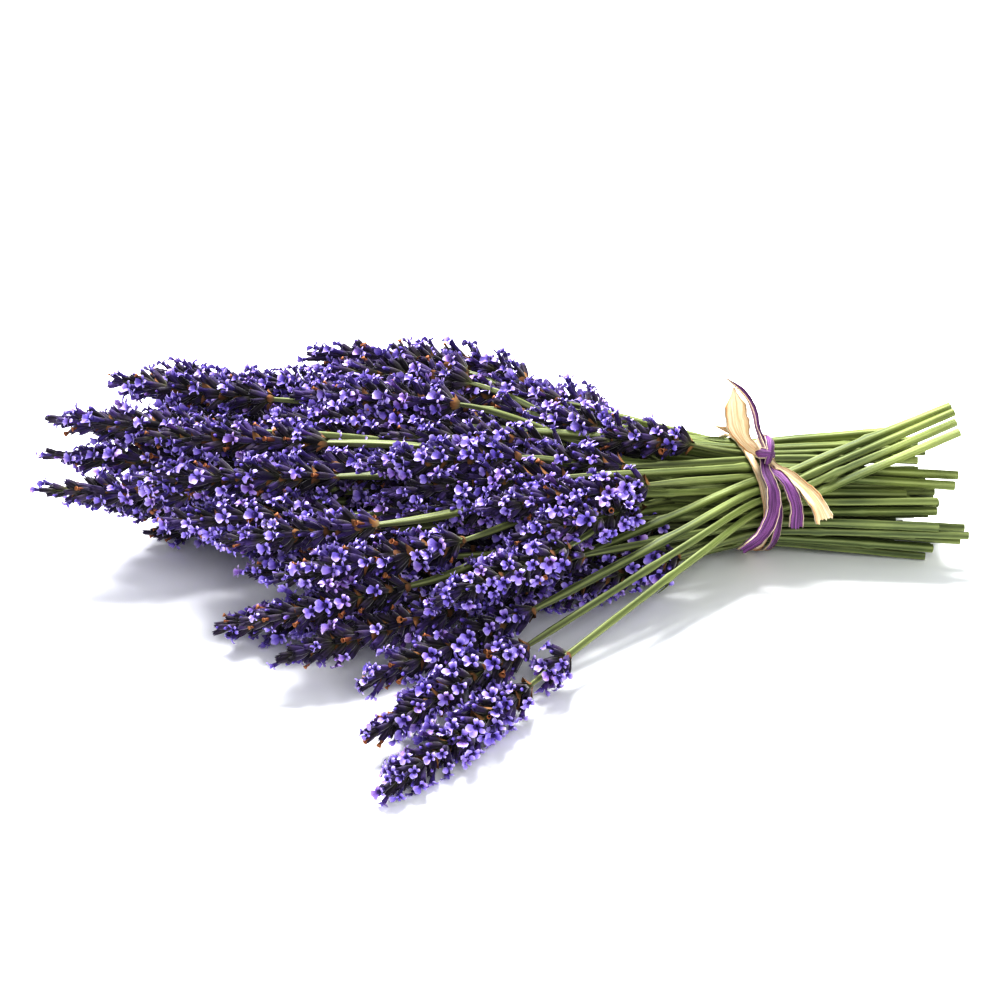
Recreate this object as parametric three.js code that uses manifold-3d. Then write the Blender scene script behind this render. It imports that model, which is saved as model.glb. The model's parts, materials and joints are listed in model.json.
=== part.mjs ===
// A tied bunch of dried lavender, lying down. Millimetres, +Z up.
// X runs along the bunch: cut ends at +X, flower spikes at -X. -Y is the bunch's front.
// The origin is on the surface that the bunch lies on, straight under the tie.
//
// A stalk is one grown piece, a stem with its flower spike. Its profile is turned as a lathe shape
// round a straight axis, and then bent along the stalk's route. The routes start from a plan of the
// bunch and are settled by a small solver, which lets the stalks sink onto the surface, bend a
// little and push each other aside until none touches another.
import * as THREE from "three";
import { mergeVertices } from "three/addons/utils/BufferGeometryUtils.js";
import Module from "manifold-3d";

// ---------------------------------------------------------------- driving dimensions

const STEM_DIAMETER = 2.2;
const SPIKE_DIAMETER = 10; // over the calyces; open florets may stand a little further out
const SPIKE_LENGTH = 46; // of an average spike
const SPIKE_LENGTH_SPREAD = 9; // how much longer or shorter a spike may be
const WHORL_DIAMETER = 8; // a lone whorl of florets on the stem below some spikes
const WHORL_LENGTH = 7;
const WHORL_GAP = 12; // from the spike's base to the middle of the lone whorl
const CUT_LENGTH = 46; // from the tie to an average cut end
const CUT_LENGTH_SPREAD = 9;
const SHORTEST_REACH = 64; // from the tie to the tip of the shortest stalk
const LONGEST_REACH = 191;
const HEAP_HEIGHT = 48; // of the heap of spikes, before it settles
const RAFFIA_WIDTH = 2.6; // a strand where it goes round the stems
const RAFFIA_THICKNESS = 0.7;

// ---------------------------------------------------------------- the plan of the bunch

const OUTER_STALKS = 32; // stalks side by side in the outermost ring of the bundle
const INNER_STALKS = 24; // stalks in the ring inside it
const FLATNESS = 0.76; // the bundle's height over its width inside the tie
const FAN_BACK = 18; // degrees that the stalks at the back spread to
const FAN_FRONT = 27; // degrees that the stalks at the front spread to
const SHORT_SLOT = 8; // the outer slot of a short stalk that lies on top, close to the tie
const FAR = [
  // Inner stalks that reach farthest. slot: place in the inner ring; fan in degrees; reach as a
  // share of LONGEST_REACH
  { slot: 10, fan: 2, reach: 1 },
  { slot: 7, fan: -4, reach: 0.97 },
  { slot: 5, fan: -13, reach: 0.9 },
];
const TOP_SHORTENING = 0.3; // how much shorter the stalks reach that lie on top at the front
const SIDE_SHORTENING = 0.32; // how much shorter the stalks at the sides reach than the middle ones
const BARE_SHARE = 0.5; // of the longest reach, nearer than which no spike lies at the top back
const STRAYS = [
  // Loose stalks at the front, which lie on the surface and cross the bundle behind the tie.
  // slot: place in the outer ring; fan and twist in degrees; reach as a share of LONGEST_REACH;
  // lift: how far the cut ends rise from the rest, as a share of the bundle's size
  { slot: 12, fan: 27, reach: 0.74, twist: -58, lift: 0.6 },
  { slot: 13, fan: 34, reach: 0.67, twist: -70, lift: 0.75 },
  { slot: 14, fan: 40, reach: 0.71, twist: -80, lift: 0.7 },
  { slot: 15, fan: 46, reach: 0.75, twist: -84, lift: 0.4 },
];
const SLANT = 0.28; // how far the tie runs towards the cut ends for each millimetre to the front
const CLEARANCE = 0.35; // between pieces that lie against each other
const ROOM = 0.5; // that the solver keeps between stalks
const SIDES = 6; // of every stalk's section
const BAND_SIDES = 28; // of the strands round the stems; the lowest one lies flat

const STEM_RADIUS = STEM_DIAMETER / 2;
const PITCH = STEM_DIAMETER + 0.7; // from one stem to the next inside the tie
const TIE_X = -(RAFFIA_WIDTH + CLEARANCE) / 2; // the middle of the tie's two strands
const HALF_TIE = RAFFIA_WIDTH + CLEARANCE; // half the length of bundle that the tie takes

// An ellipse's semi-axes from its rough circumference and its flatness.
function ellipse(circumference) {
  const mean = circumference / (2 * Math.PI);
  const across = mean * Math.sqrt(2 / (1 + FLATNESS ** 2));
  return { across, up: across * FLATNESS };
}
const grown = (e, by) => ({ across: e.across + by, up: e.up + by });

const OUTER_RING = ellipse(OUTER_STALKS * PITCH);
const INNER_RING = grown(OUTER_RING, -PITCH);
const CORE = grown(INNER_RING, -PITCH);
const BUNDLE = grown(OUTER_RING, STEM_RADIUS + 0.15); // the outline that the tie closes on
const BAND_INSIDE = grown(BUNDLE, CLEARANCE);
const BAND_OUTSIDE = grown(BAND_INSIDE, RAFFIA_THICKNESS);
const AXIS_HEIGHT = BAND_OUTSIDE.up * Math.cos(Math.PI / BAND_SIDES); // flat on the surface

const radians = THREE.MathUtils.degToRad;
const mix = THREE.MathUtils.lerp;
const clamp = THREE.MathUtils.clamp;

// The same spread of values from 0 to 1 every time: item i of the sequence named by seed.
function vary(i, seed) {
  const value = Math.sin(i * 12.9898 + seed * 78.233) * 43758.5453;
  return value - Math.floor(value);
}
const around = (i, seed) => 2 * vary(i, seed) - 1;

// ---------------------------------------------------------------- stalks

// Stations along a stalk from its cut end to its tip, each {at, radius}: at is the distance from
// the tie along the stalk, negative on the cut side.
function stations(stalk) {
  const { cut, reach, spike, whorl } = stalk;
  const base = reach - spike;
  const list = [-cut, -cut * 0.68, -cut * 0.36, -HALF_TIE, HALF_TIE].map((at) => ({
    at,
    radius: STEM_RADIUS,
  }));
  const middle = base - WHORL_GAP;
  const bare = whorl ? middle - WHORL_LENGTH / 2 : base;
  const steps = Math.max(1, Math.round((bare - HALF_TIE) / 24));
  for (let k = 1; k <= steps; k++)
    list.push({ at: mix(HALF_TIE, bare, k / steps), radius: STEM_RADIUS });
  if (whorl)
    list.push(
      { at: middle, radius: WHORL_DIAMETER / 2 },
      { at: middle + WHORL_LENGTH / 2, radius: STEM_RADIUS },
      { at: base, radius: STEM_RADIUS },
    );
  const full = SPIKE_DIAMETER / 2;
  const outline = [
    [0.08, 0.82],
    [0.26, 1],
    [0.48, 1],
    [0.7, 0.88],
    [0.88, 0.62],
    [1, 0.22],
  ];
  for (const [share, width] of outline)
    list.push({ at: base + share * spike, radius: width * full });
  return list;
}

// A stalk as planned: its stations with the places that they start from.
function planned(stalk) {
  const { theta, ring, fan, rise, twist, lift } = stalk;
  const across = Math.cos(theta);
  const up = Math.sin(theta);
  const tie = TIE_X - SLANT * ring.across * across; // where the slanting tie crosses the stalk
  const points = stations(stalk).map(({ at, radius }) => {
    let place;
    if (at <= HALF_TIE) {
      const behind = Math.max(0, -at - HALF_TIE) / CUT_LENGTH;
      const angle = theta + radians(twist) * behind;
      const out = 1 + lift * behind;
      place = new THREE.Vector3(
        tie - at,
        ring.across * out * Math.cos(angle),
        AXIS_HEIGHT + ring.up * out * Math.sin(angle),
      );
    } else {
      const on = at - HALF_TIE;
      place = new THREE.Vector3(
        tie - HALF_TIE - on * Math.cos(radians(fan)),
        ring.across * across - on * Math.sin(radians(fan)),
        AXIS_HEIGHT + ring.up * up + rise * (on / (LONGEST_REACH - HALF_TIE)),
      );
    }
    place.z = Math.max(place.z, radius);
    return { place, radius, at };
  });
  return { ...stalk, points, tie };
}

// The stalk in a slot of one of the bundle's two rings.
function stalkIn(ring, slot, count, number) {
  const theta = (2 * Math.PI * (slot + 0.5)) / count;
  const outer = ring === OUTER_RING;
  const depth = outer ? 1 : 0.55; // how far out in the heap it ends up
  const side = Math.cos(theta);
  const up = Math.sin(theta);
  const cut = CUT_LENGTH + CUT_LENGTH_SPREAD * around(number, 2);
  const stray = outer && STRAYS.find((s) => s.slot === slot);
  if (stray)
    return planned({
      theta,
      ring,
      cut: CUT_LENGTH + CUT_LENGTH_SPREAD,
      spike: SPIKE_LENGTH + SPIKE_LENGTH_SPREAD * 0.5,
      reach: LONGEST_REACH * stray.reach,
      fan: stray.fan,
      twist: stray.twist,
      lift: stray.lift,
      rise: -AXIS_HEIGHT,
      whorl: stray === STRAYS.at(-1),
    });
  const short = outer && slot === SHORT_SLOT;
  const spike = short
    ? SPIKE_LENGTH - 2 * SPIKE_LENGTH_SPREAD
    : SPIKE_LENGTH + SPIKE_LENGTH_SPREAD * around(number, 1);
  const topBack = outer && side > 0 && up > 0;
  const far = !outer && FAR.find((f) => f.slot === slot);
  const onTop = outer && side < 0.1 ? Math.max(0, up) : 0;
  const longest =
    LONGEST_REACH * (1 - SIDE_SHORTENING * Math.abs(side) * depth - TOP_SHORTENING * onTop);
  const nearest = topBack ? LONGEST_REACH * BARE_SHARE : SHORTEST_REACH;
  let reach = mix(nearest, longest, (number * 0.618034) % 1);
  if (short) reach = spike + 5 * HALF_TIE;
  if (far) reach = LONGEST_REACH * far.reach;
  const heapUp = HEAP_HEIGHT / 2 - SPIKE_DIAMETER / 2;
  return planned({
    theta,
    ring,
    cut,
    spike: Math.min(spike, reach * 0.62),
    reach,
    fan: far
      ? far.fan
      : side * depth * (side > 0 ? -FAN_BACK : -FAN_FRONT) + 2.5 * around(number, 3),
    twist: 22 * around(number, 4),
    lift: 0.2,
    rise: heapUp * (1 + up * depth) + SPIKE_DIAMETER / 2 - AXIS_HEIGHT - ring.up * up,
    whorl: number % 5 === 2 && reach > SHORTEST_REACH + 40,
  });
}

function plan() {
  const stalks = [];
  for (let slot = 0; slot < OUTER_STALKS; slot++)
    stalks.push(stalkIn(OUTER_RING, slot, OUTER_STALKS, stalks.length + 1));
  for (let slot = 0; slot < INNER_STALKS; slot++)
    stalks.push(stalkIn(INNER_RING, slot, INNER_STALKS, stalks.length + 1));
  return stalks;
}

// ---------------------------------------------------------------- the middle of the bundle

// The stems in the middle, which can't be told apart: a honeycomb of straight stems that touch.
function coreStems() {
  const stems = [];
  const pitch = STEM_DIAMETER * 0.91; // closer than a stem's width, so that they join
  const rise = pitch * Math.sin(Math.PI / 3);
  const inside = grown(CORE, -STEM_RADIUS * 0.4);
  const rows = Math.floor(inside.up / rise);
  for (let row = -rows; row <= rows; row++) {
    const shift = row % 2 === 0 ? 0 : pitch / 2;
    const columns = Math.ceil(inside.across / pitch);
    for (let column = -columns; column <= columns; column++) {
      const y = column * pitch + shift;
      const z = row * rise;
      if ((y / inside.across) ** 2 + (z / inside.up) ** 2 > 1) continue;
      const number = stems.length + 1;
      const onSpikeSide = CUT_LENGTH * (0.3 + 0.25 * vary(number, 5));
      const onCutSide = CUT_LENGTH + CUT_LENGTH_SPREAD * (around(number, 6) * 0.8 - 0.1);
      stems.push({
        from: new THREE.Vector3(TIE_X - onSpikeSide, y, AXIS_HEIGHT + z),
        to: new THREE.Vector3(TIE_X + onCutSide, y, AXIS_HEIGHT + z),
        radius: STEM_RADIUS,
      });
    }
  }
  return stems;
}

// ---------------------------------------------------------------- the raffia's loose ends

// A place over the bundle: degrees round it (0 the back, 90 the top, 180 the front), the place
// along it from the tie's middle, and how far out it stands from the outside of the strands.
function over(degrees, along, out) {
  const e = grown(BAND_OUTSIDE, out);
  const y = e.across * Math.cos(radians(degrees));
  return new THREE.Vector3(
    TIE_X + along - SLANT * y,
    y,
    AXIS_HEIGHT + e.up * Math.sin(radians(degrees)),
  );
}
const outward = (place) =>
  new THREE.Vector3(
    0,
    place.y / BAND_OUTSIDE.across ** 2,
    (place.z - AXIS_HEIGHT) / BAND_OUTSIDE.up ** 2,
  ).normalize();

const SPACING = (RAFFIA_WIDTH + CLEARANCE) / 2; // from the tie's middle to each strand's middle
const KNOTS = {
  purple: { degrees: 103, along: SPACING, out: 1.5, size: [1.5, 3.7, 1.8] },
  cream: { degrees: 110, along: -1.5 * SPACING, out: 1.3, size: [1.2, 3, 1.6] },
};
const knotPlace = ({ degrees, along, out }) => over(degrees, along, out);

// The loose ends. rows: degrees, along, out for the ends that hang over the bundle, and steps
// from the knot in millimetres for those that stand up. widths: from the knot to the tip.
const ENDS = [
  {
    name: "down_front",
    strand: "purple",
    rows: [[120, -0.6, 2.8], [144, -0.7, 3.8], [162, -1.9, 4.2], [180, -5, 4.2], [196, -9.2, 3.6]],
    widths: [2, 3.4, 3.9, 3.8, 2.8],
  },
  {
    name: "down_aside",
    strand: "purple",
    rows: [[118, 1.4, 2.9], [128, 2.1, 3.9], [141, 3.4, 4.8], [156, 4.4, 5], [172, 4.2, 4.5]],
    widths: [1.8, 2.6, 3.2, 3.8],
  },
  {
    name: "up_edge",
    strand: "purple",
    steps: [[-1.8, 0.6, 4.9], [-2.8, 1.6, 9], [-4.3, 2.6, 12.6], [-6.9, 3.4, 15.7], [-9.8, 4, 18]],
    widths: [1.4, 1.9, 1.9, 0.8],
  },
  {
    name: "across_front",
    strand: "cream",
    rows: [[121, 0.3, 1.2], [129, 5, 1.2], [142, 8.2, 2.2], [155, 10.4, 3.8], [166, 11.6, 4.4]],
    widths: [1.8, 2.2, 3.2, 4.2, 4.8],
  },
  {
    name: "up_leaf",
    strand: "cream",
    steps: [[-2.2, 0.4, 4.6], [-4.4, 1.4, 9.4], [-5.2, 2.2, 14], [-5.4, 3, 18.2]],
    widths: [2.2, 5.2, 7, 2.4],
  },
  {
    name: "aside",
    strand: "cream",
    steps: [[-2.4, 1, 3.1], [-5, 2.4, 5.8], [-9.1, 3.6, 6.8]],
    widths: [1.8, 2.6, 0.9],
  },
];

// An end's middle line, from inside its knot to its tip.
function endCurve(end) {
  const knot = knotPlace(KNOTS[end.strand]);
  const ways = end.rows
    ? end.rows.map(([degrees, along, out]) => over(degrees, along, out))
    : end.steps.map((step) => knot.clone().add(new THREE.Vector3(...step)));
  return new THREE.CatmullRomCurve3([knot, ...ways], false, "centripetal");
}

// The ends as rods that the stalks are kept away from.
function endRods() {
  return ENDS.flatMap((end) => {
    const places = endCurve(end).getSpacedPoints(6).slice(2);
    return places.slice(1).map((to, k) => ({ from: places[k], to, radius: 1.1 }));
  });
}

// ---------------------------------------------------------------- the solver

// Settles the stalks in place. A point is three numbers in at[]; a rod is a straight stretch
// between two points, as thick as they say. The fixed rods don't move.
function settle(stalks, fixed) {
  const at = [];
  const radius = [];
  const weight = []; // how freely a point moves
  const rods = [];
  const addPoint = (v, r, w) => {
    at.push(v.x, v.y, v.z);
    radius.push(r);
    weight.push(w);
    return radius.length - 1;
  };
  for (const [owner, stalk] of stalks.entries()) {
    stalk.first = radius.length;
    for (const p of stalk.points) addPoint(p.place, p.radius, 1);
    for (let k = 1; k < stalk.points.length; k++)
      rods.push({ a: stalk.first + k - 1, b: stalk.first + k, owner });
  }
  for (const rod of fixed)
    rods.push({
      a: addPoint(rod.from, rod.radius, 0),
      b: addPoint(rod.to, rod.radius, 0),
      owner: -1,
    });
  const start = at.slice();

  const P = [0, 0, 0];
  const Q = [0, 0, 0];
  const gap = [0, 0, 0];

  // The place a share of the way along a rod.
  function along(rod, share, place) {
    for (let k = 0; k < 3; k++) place[k] = mix(at[rod.a * 3 + k], at[rod.b * 3 + k], share);
    return place;
  }

  // The share of the way along a rod that is nearest to a place.
  function beside(rod, place) {
    let on = 0;
    let length = 0;
    for (let k = 0; k < 3; k++) {
      const way = at[rod.b * 3 + k] - at[rod.a * 3 + k];
      on += way * (place[k] - at[rod.a * 3 + k]);
      length += way * way;
    }
    return clamp(on / length, 0, 1);
  }

  // The shares along two rods where they come closest, in a few steps from their middles. That
  // is quick, but falls short for rods that cross at a small angle.
  function roughly(p, q) {
    let s = 0.5;
    let t = beside(q, along(p, s, P));
    for (let k = 0; k < 3; k++) {
      s = beside(p, along(q, t, Q));
      t = beside(q, along(p, s, P));
    }
    return [s, t];
  }

  // The same shares worked out exactly.
  function exactly(p, q) {
    let [pp, qq, pq, pr, qr] = [0, 0, 0, 0, 0];
    for (let k = 0; k < 3; k++) {
      const u = at[p.b * 3 + k] - at[p.a * 3 + k];
      const v = at[q.b * 3 + k] - at[q.a * 3 + k];
      const r = at[p.a * 3 + k] - at[q.a * 3 + k];
      pp += u * u;
      qq += v * v;
      pq += u * v;
      pr += u * r;
      qr += v * r;
    }
    const crossing = pp * qq - pq * pq;
    const s = crossing > 1e-9 ? clamp((pq * qr - pr * qq) / crossing, 0, 1) : 0.5;
    const t = (pq * s + qr) / qq;
    if (t < 0) return [clamp(-pr / pp, 0, 1), 0];
    if (t > 1) return [clamp((pq - pr) / pp, 0, 1), 1];
    return [s, t];
  }

  // By how much two rods lack room where they come closest: lacking is below 0 if they don't.
  // s and t are the shares along them. A tapering rod may come closest at one of its ends.
  function closest(p, q, room, exact) {
    const tries = [exact ? exactly(p, q) : roughly(p, q)];
    if (Math.abs(radius[p.a] - radius[p.b]) > 0.4)
      for (const end of [0, 0.5, 1]) tries.push([end, beside(q, along(p, end, P))]);
    if (Math.abs(radius[q.a] - radius[q.b]) > 0.4)
      for (const end of [0, 0.5, 1]) tries.push([beside(p, along(q, end, Q)), end]);
    let worst = { lacking: -1 };
    for (const [s, t] of tries) {
      along(p, s, P);
      along(q, t, Q);
      const distance = Math.hypot(P[0] - Q[0], P[1] - Q[1], P[2] - Q[2]);
      const need = mix(radius[p.a], radius[p.b], s) + mix(radius[q.a], radius[q.b], t) + room;
      if (need - distance > worst.lacking) worst = { lacking: need - distance, distance, s, t };
    }
    return worst;
  }

  // Rod pairs that are near enough to meet within the next few rounds.
  function nearPairs(reach) {
    const boxes = rods.map(({ a, b }) =>
      [0, 1, 2].map((k) => [
        Math.min(at[a * 3 + k] - radius[a], at[b * 3 + k] - radius[b]) - reach,
        Math.max(at[a * 3 + k] + radius[a], at[b * 3 + k] + radius[b]) + reach,
      ]),
    );
    const pairs = [];
    for (let i = 0; i < rods.length; i++)
      for (let j = i + 1; j < rods.length; j++) {
        if (rods[i].owner === rods[j].owner) continue; // of one stalk, or both fixed
        const [p, q] = [boxes[i], boxes[j]];
        if ([0, 1, 2].every((k) => p[k][0] < q[k][1] && q[k][0] < p[k][1]))
          pairs.push([rods[i], rods[j]]);
      }
    return pairs;
  }

  // Moves two rods apart by what they lack.
  function part(p, q, room, exact) {
    const { lacking, distance, s, t } = closest(p, q, room, exact);
    if (lacking <= 0 || distance < 1e-6) return;
    along(p, s, P);
    along(q, t, Q);
    for (let k = 0; k < 3; k++) gap[k] = P[k] - Q[k];
    const shares = [
      [p.a, 1 - s],
      [p.b, s],
      [q.a, t - 1],
      [q.b, -t],
    ];
    const total = shares.reduce((sum, [i, share]) => sum + weight[i] * share * share, 0);
    if (total < 1e-9) return;
    const push = lacking / (total * distance);
    for (const [i, share] of shares)
      for (let k = 0; k < 3; k++) at[i * 3 + k] += weight[i] * share * push * gap[k];
  }

  // Keeps each stretch of a stalk at its length, and straightens it by a share.
  function hold(stalk, stiffness) {
    const { points, first } = stalk;
    for (let k = 1; k < points.length - 1; k++) {
      const before = points[k].at - points[k - 1].at;
      const after = points[k + 1].at - points[k].at;
      const share = before / (before + after);
      for (let c = 0; c < 3; c++) {
        const i = (first + k) * 3 + c;
        const straight = mix(at[i - 3], at[i + 3], share);
        const off = (at[i] - straight) * stiffness;
        at[i] -= off / 2;
        at[i - 3] += (off * (1 - share)) / 2;
        at[i + 3] += (off * share) / 2;
      }
    }
    for (let k = 1; k < points.length; k++) {
      const i = (first + k - 1) * 3;
      const length = points[k].at - points[k - 1].at;
      const now = Math.hypot(at[i + 3] - at[i], at[i + 4] - at[i + 1], at[i + 5] - at[i + 2]);
      const change = (now - length) / now / 2;
      for (let c = 0; c < 3; c++) {
        const along = (at[i + 3 + c] - at[i + c]) * change;
        at[i + c] += along;
        at[i + 3 + c] -= along;
      }
    }
  }

  // Keeps a stalk above the surface, and inside the tie where it passes through.
  function contain(stalk) {
    const { points, first } = stalk;
    for (let k = 0; k < points.length; k++) {
      const i = (first + k) * 3;
      at[i + 2] = Math.max(at[i + 2], points[k].radius + 0.05);
      if (Math.abs(points[k].at) > HALF_TIE) continue;
      at[i] = stalk.tie - points[k].at;
      const y = at[i + 1] / OUTER_RING.across;
      const z = (at[i + 2] - AXIS_HEIGHT) / OUTER_RING.up;
      const out = Math.hypot(y, z);
      if (out > 1) {
        at[i + 1] /= out;
        at[i + 2] = AXIS_HEIGHT + (at[i + 2] - AXIS_HEIGHT) / out;
      }
    }
  }

  // Where a stalk stands out of the bundle under the slanting band, just beside the tie: the
  // node of the tie that it leaves from, and how far that node must be drawn in.
  function swellings(stalk) {
    const found = [];
    const last = stalk.first + stalk.points.findIndex(({ at }) => at === HALF_TIE);
    for (const [node, next] of [
      [last - 1, last - 2],
      [last, last + 1],
    ]) {
      const length = Math.hypot(...[0, 1, 2].map((k) => at[next * 3 + k] - at[node * 3 + k]));
      let worst = { by: 0 };
      for (let beyond = 0; beyond < SLANT * BAND_OUTSIDE.up; beyond += 0.25) {
        const [x, y, z] = [0, 1, 2].map((k) =>
          mix(at[node * 3 + k], at[next * 3 + k], beyond / length),
        );
        if (Math.abs(x - TIE_X + SLANT * y) > HALF_TIE + CLEARANCE) continue;
        const out = Math.hypot(y / OUTER_RING.across, (z - AXIS_HEIGHT) / OUTER_RING.up);
        if (out <= 1) continue;
        const [inwards, down] = [y * (1 / out - 1), (z - AXIS_HEIGHT) * (1 / out - 1)];
        const by = Math.hypot(inwards, down);
        if (by > worst.by) worst = { node, by, inwards, down };
      }
      if (worst.by > 0) found.push(worst);
    }
    return found;
  }

  const ROUNDS = 640;
  const LOOSE = 320; // rounds in which the stalks sink and are drawn back to their plan
  const GIVING = 240; // last rounds, in which the stalks bend more and more easily
  const EXTRA = 2400; // rounds that may follow while stalks still touch each other or the tie
  const TOUCHING = 0.02; // the gap below which two stalks count as touching
  const touching = () =>
    nearPairs(ROOM).some(([p, q]) => closest(p, q, ROOM, true).lacking > ROOM - TOUCHING) ||
    stalks.some((stalk) => swellings(stalk).some(({ by }) => by > CLEARANCE));
  let pairs = [];
  for (let round = 0; round < ROUNDS + EXTRA; round++) {
    if (round >= ROUNDS && round % 40 === 0 && !touching()) break;
    if (round % 10 === 0) pairs = nearPairs(2.5);
    const slack = Math.max(0, 1 - round / LOOSE);
    for (const stalk of stalks)
      for (let k = 0; k < stalk.points.length; k++) {
        const i = (stalk.first + k) * 3;
        for (let c = 0; c < 3; c++) at[i + c] += (start[i + c] - at[i + c]) * 0.03 * slack;
        if (stalk.points[k].at > HALF_TIE) at[i + 2] -= 0.05 * slack;
      }
    for (const stalk of stalks) hold(stalk, 0.25 * clamp((ROUNDS - round) / GIVING, 0, 1));
    const exact = round >= ROUNDS;
    for (const [p, q] of pairs) part(p, q, ROOM, exact);
    if (exact)
      for (const stalk of stalks)
        for (const { node, inwards, down } of swellings(stalk)) {
          at[node * 3 + 1] += inwards;
          at[node * 3 + 2] += down;
        }
    for (const stalk of stalks) contain(stalk);
  }
  for (const stalk of stalks)
    for (const [k, point] of stalk.points.entries())
      point.place.fromArray(at, (stalk.first + k) * 3);
}

// ---------------------------------------------------------------- solids

const materials = {
  stalk: new THREE.MeshStandardMaterial({ color: 0x6f6fb0, roughness: 0.85 }),
  core: new THREE.MeshStandardMaterial({ color: 0x7d9347, roughness: 0.7 }),
  purple: new THREE.MeshStandardMaterial({ color: 0x7a3b8c, roughness: 0.6 }),
  cream: new THREE.MeshStandardMaterial({ color: 0xf3e6c4, roughness: 0.65 }),
};

function named(name, geometry, material) {
  const mesh = new THREE.Mesh(geometry, material);
  mesh.name = name;
  return mesh;
}

// Bends a geometry that stands along +Y with its rings at y = 0, 1, 2 ... so that ring k is
// centred on places[k] and square to the way there. Its Z axis keeps as near to up as it can.
function bent(geometry, places, up) {
  const position = geometry.getAttribute("position");
  const point = new THREE.Vector3();
  const frames = places.map((place, k) => {
    const before = places[Math.max(0, k - 1)];
    const after = places[Math.min(places.length - 1, k + 1)];
    const way = after.clone().sub(before).normalize();
    const side = new THREE.Vector3().crossVectors(way, up(k)).normalize();
    return { place, side, up: new THREE.Vector3().crossVectors(side, way) };
  });
  for (let i = 0; i < position.count; i++) {
    point.fromBufferAttribute(position, i);
    const frame = frames[Math.round(point.y)];
    const moved = frame.place
      .clone()
      .addScaledVector(frame.side, point.x)
      .addScaledVector(frame.up, point.z);
    position.setXYZ(i, moved.x, moved.y, moved.z);
  }
  geometry.computeVertexNormals();
  return geometry;
}

function stalkMesh(stalk, name) {
  const places = stalk.points.map((p) => p.place);
  const last = places.length - 1;
  const profile = stalk.points.map((p, k) => new THREE.Vector2(p.radius, k));
  const turned = new THREE.LatheGeometry(
    [new THREE.Vector2(0, 0), ...profile, new THREE.Vector2(0, last)],
    SIDES,
  );
  return named(name, bent(turned, places, () => AXES.Z), materials.stalk);
}

const AXES = {
  X: new THREE.Vector3(1, 0, 0),
  Y: new THREE.Vector3(0, 1, 0),
  Z: new THREE.Vector3(0, 0, 1),
  FRONT: new THREE.Vector3(0.25, -1, 0.3).normalize(),
};

const wasm = await Module();
wasm.setup();

function toSolid(mesh) {
  mesh.updateMatrixWorld(true);
  const geometry = mesh.geometry.clone().applyMatrix4(mesh.matrixWorld);
  for (const name of ["normal", "uv"]) geometry.deleteAttribute(name);
  const merged = mergeVertices(geometry, 1e-4);
  return new wasm.Manifold(
    new wasm.Mesh({
      numProp: 3,
      vertProperties: merged.attributes.position.array,
      triVerts: new Uint32Array(merged.index.array),
    }),
  );
}

function fromSolid(solid) {
  const mesh = solid.getMesh();
  const geometry = new THREE.BufferGeometry()
    .setAttribute("position", new THREE.BufferAttribute(mesh.vertProperties, 3))
    .setIndex(new THREE.BufferAttribute(mesh.triVerts, 1));
  geometry.computeVertexNormals();
  return geometry;
}

const joined = (meshes) => meshes.map(toSolid).reduce((a, b) => a.add(b));

function coreMesh(stems) {
  const rods = stems.map((stem) => {
    const length = stem.to.x - stem.from.x;
    const rod = new THREE.CylinderGeometry(STEM_RADIUS, STEM_RADIUS, length, SIDES);
    rod.rotateY(Math.PI / SIDES); // corners towards its neighbours
    const mesh = new THREE.Mesh(rod);
    mesh.rotation.z = Math.PI / 2;
    mesh.position.lerpVectors(stem.from, stem.to, 0.5);
    return mesh;
  });
  return named("inner_stems", fromSolid(joined(rods)), materials.core);
}

// One strand's turn round the bundle.
function bandMesh(along) {
  const angles = Array.from({ length: BAND_SIDES }, (_, k) => ((k + 0.5) * 2 * Math.PI) / BAND_SIDES);
  const corners = (e) =>
    angles.map((a) => new THREE.Vector2(e.across * Math.cos(a), e.up * Math.sin(a)));
  const shape = new THREE.Shape(corners(BAND_OUTSIDE));
  shape.holes.push(new THREE.Path(corners(BAND_INSIDE).reverse()));
  const band = new THREE.ExtrudeGeometry(shape, { depth: RAFFIA_WIDTH, bevelEnabled: false });
  band.applyMatrix4(new THREE.Matrix4().makeShear(0, -SLANT, 0, 0, 0, 0));
  const mesh = new THREE.Mesh(band);
  const { X, Y, Z } = AXES;
  mesh.setRotationFromMatrix(new THREE.Matrix4().makeBasis(Y, Z, X));
  mesh.position.set(TIE_X + along - RAFFIA_WIDTH / 2, 0, AXIS_HEIGHT);
  return mesh;
}

function knotMesh(knot) {
  const place = knotPlace(knot);
  const out = outward(place);
  const mesh = new THREE.Mesh(new THREE.SphereGeometry(1, 14, 10));
  const round = new THREE.Vector3().crossVectors(out, AXES.X);
  mesh.setRotationFromMatrix(new THREE.Matrix4().makeBasis(AXES.X, round.negate(), out));
  mesh.scale.set(...knot.size);
  mesh.position.copy(place);
  return mesh;
}

// A loose end: a thin ribbon that lies along its middle line, as wide as its widths say.
function endMesh(end) {
  const RINGS = 10;
  const strip = new THREE.BoxGeometry(1, RINGS, RAFFIA_THICKNESS, 1, RINGS, 1);
  strip.translate(0, RINGS / 2, 0);
  const widths = [end.widths[0], ...end.widths];
  const position = strip.getAttribute("position");
  for (let i = 0; i < position.count; i++) {
    const at = (position.getY(i) / RINGS) * (widths.length - 1);
    const k = Math.min(Math.floor(at), widths.length - 2);
    position.setX(i, position.getX(i) * mix(widths[k], widths[k + 1], at - k));
  }
  const places = endCurve(end).getSpacedPoints(RINGS);
  const facing = (k) => (end.rows ? outward(places[k]) : AXES.FRONT);
  return new THREE.Mesh(bent(strip, places, facing));
}

function strandMesh(strand, name) {
  const pieces = [bandMesh(KNOTS[strand].along), knotMesh(KNOTS[strand])];
  for (const end of ENDS) if (end.strand === strand) pieces.push(endMesh(end));
  return named(name, fromSolid(joined(pieces)), materials[strand]);
}

// ---------------------------------------------------------------- assembly

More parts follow.
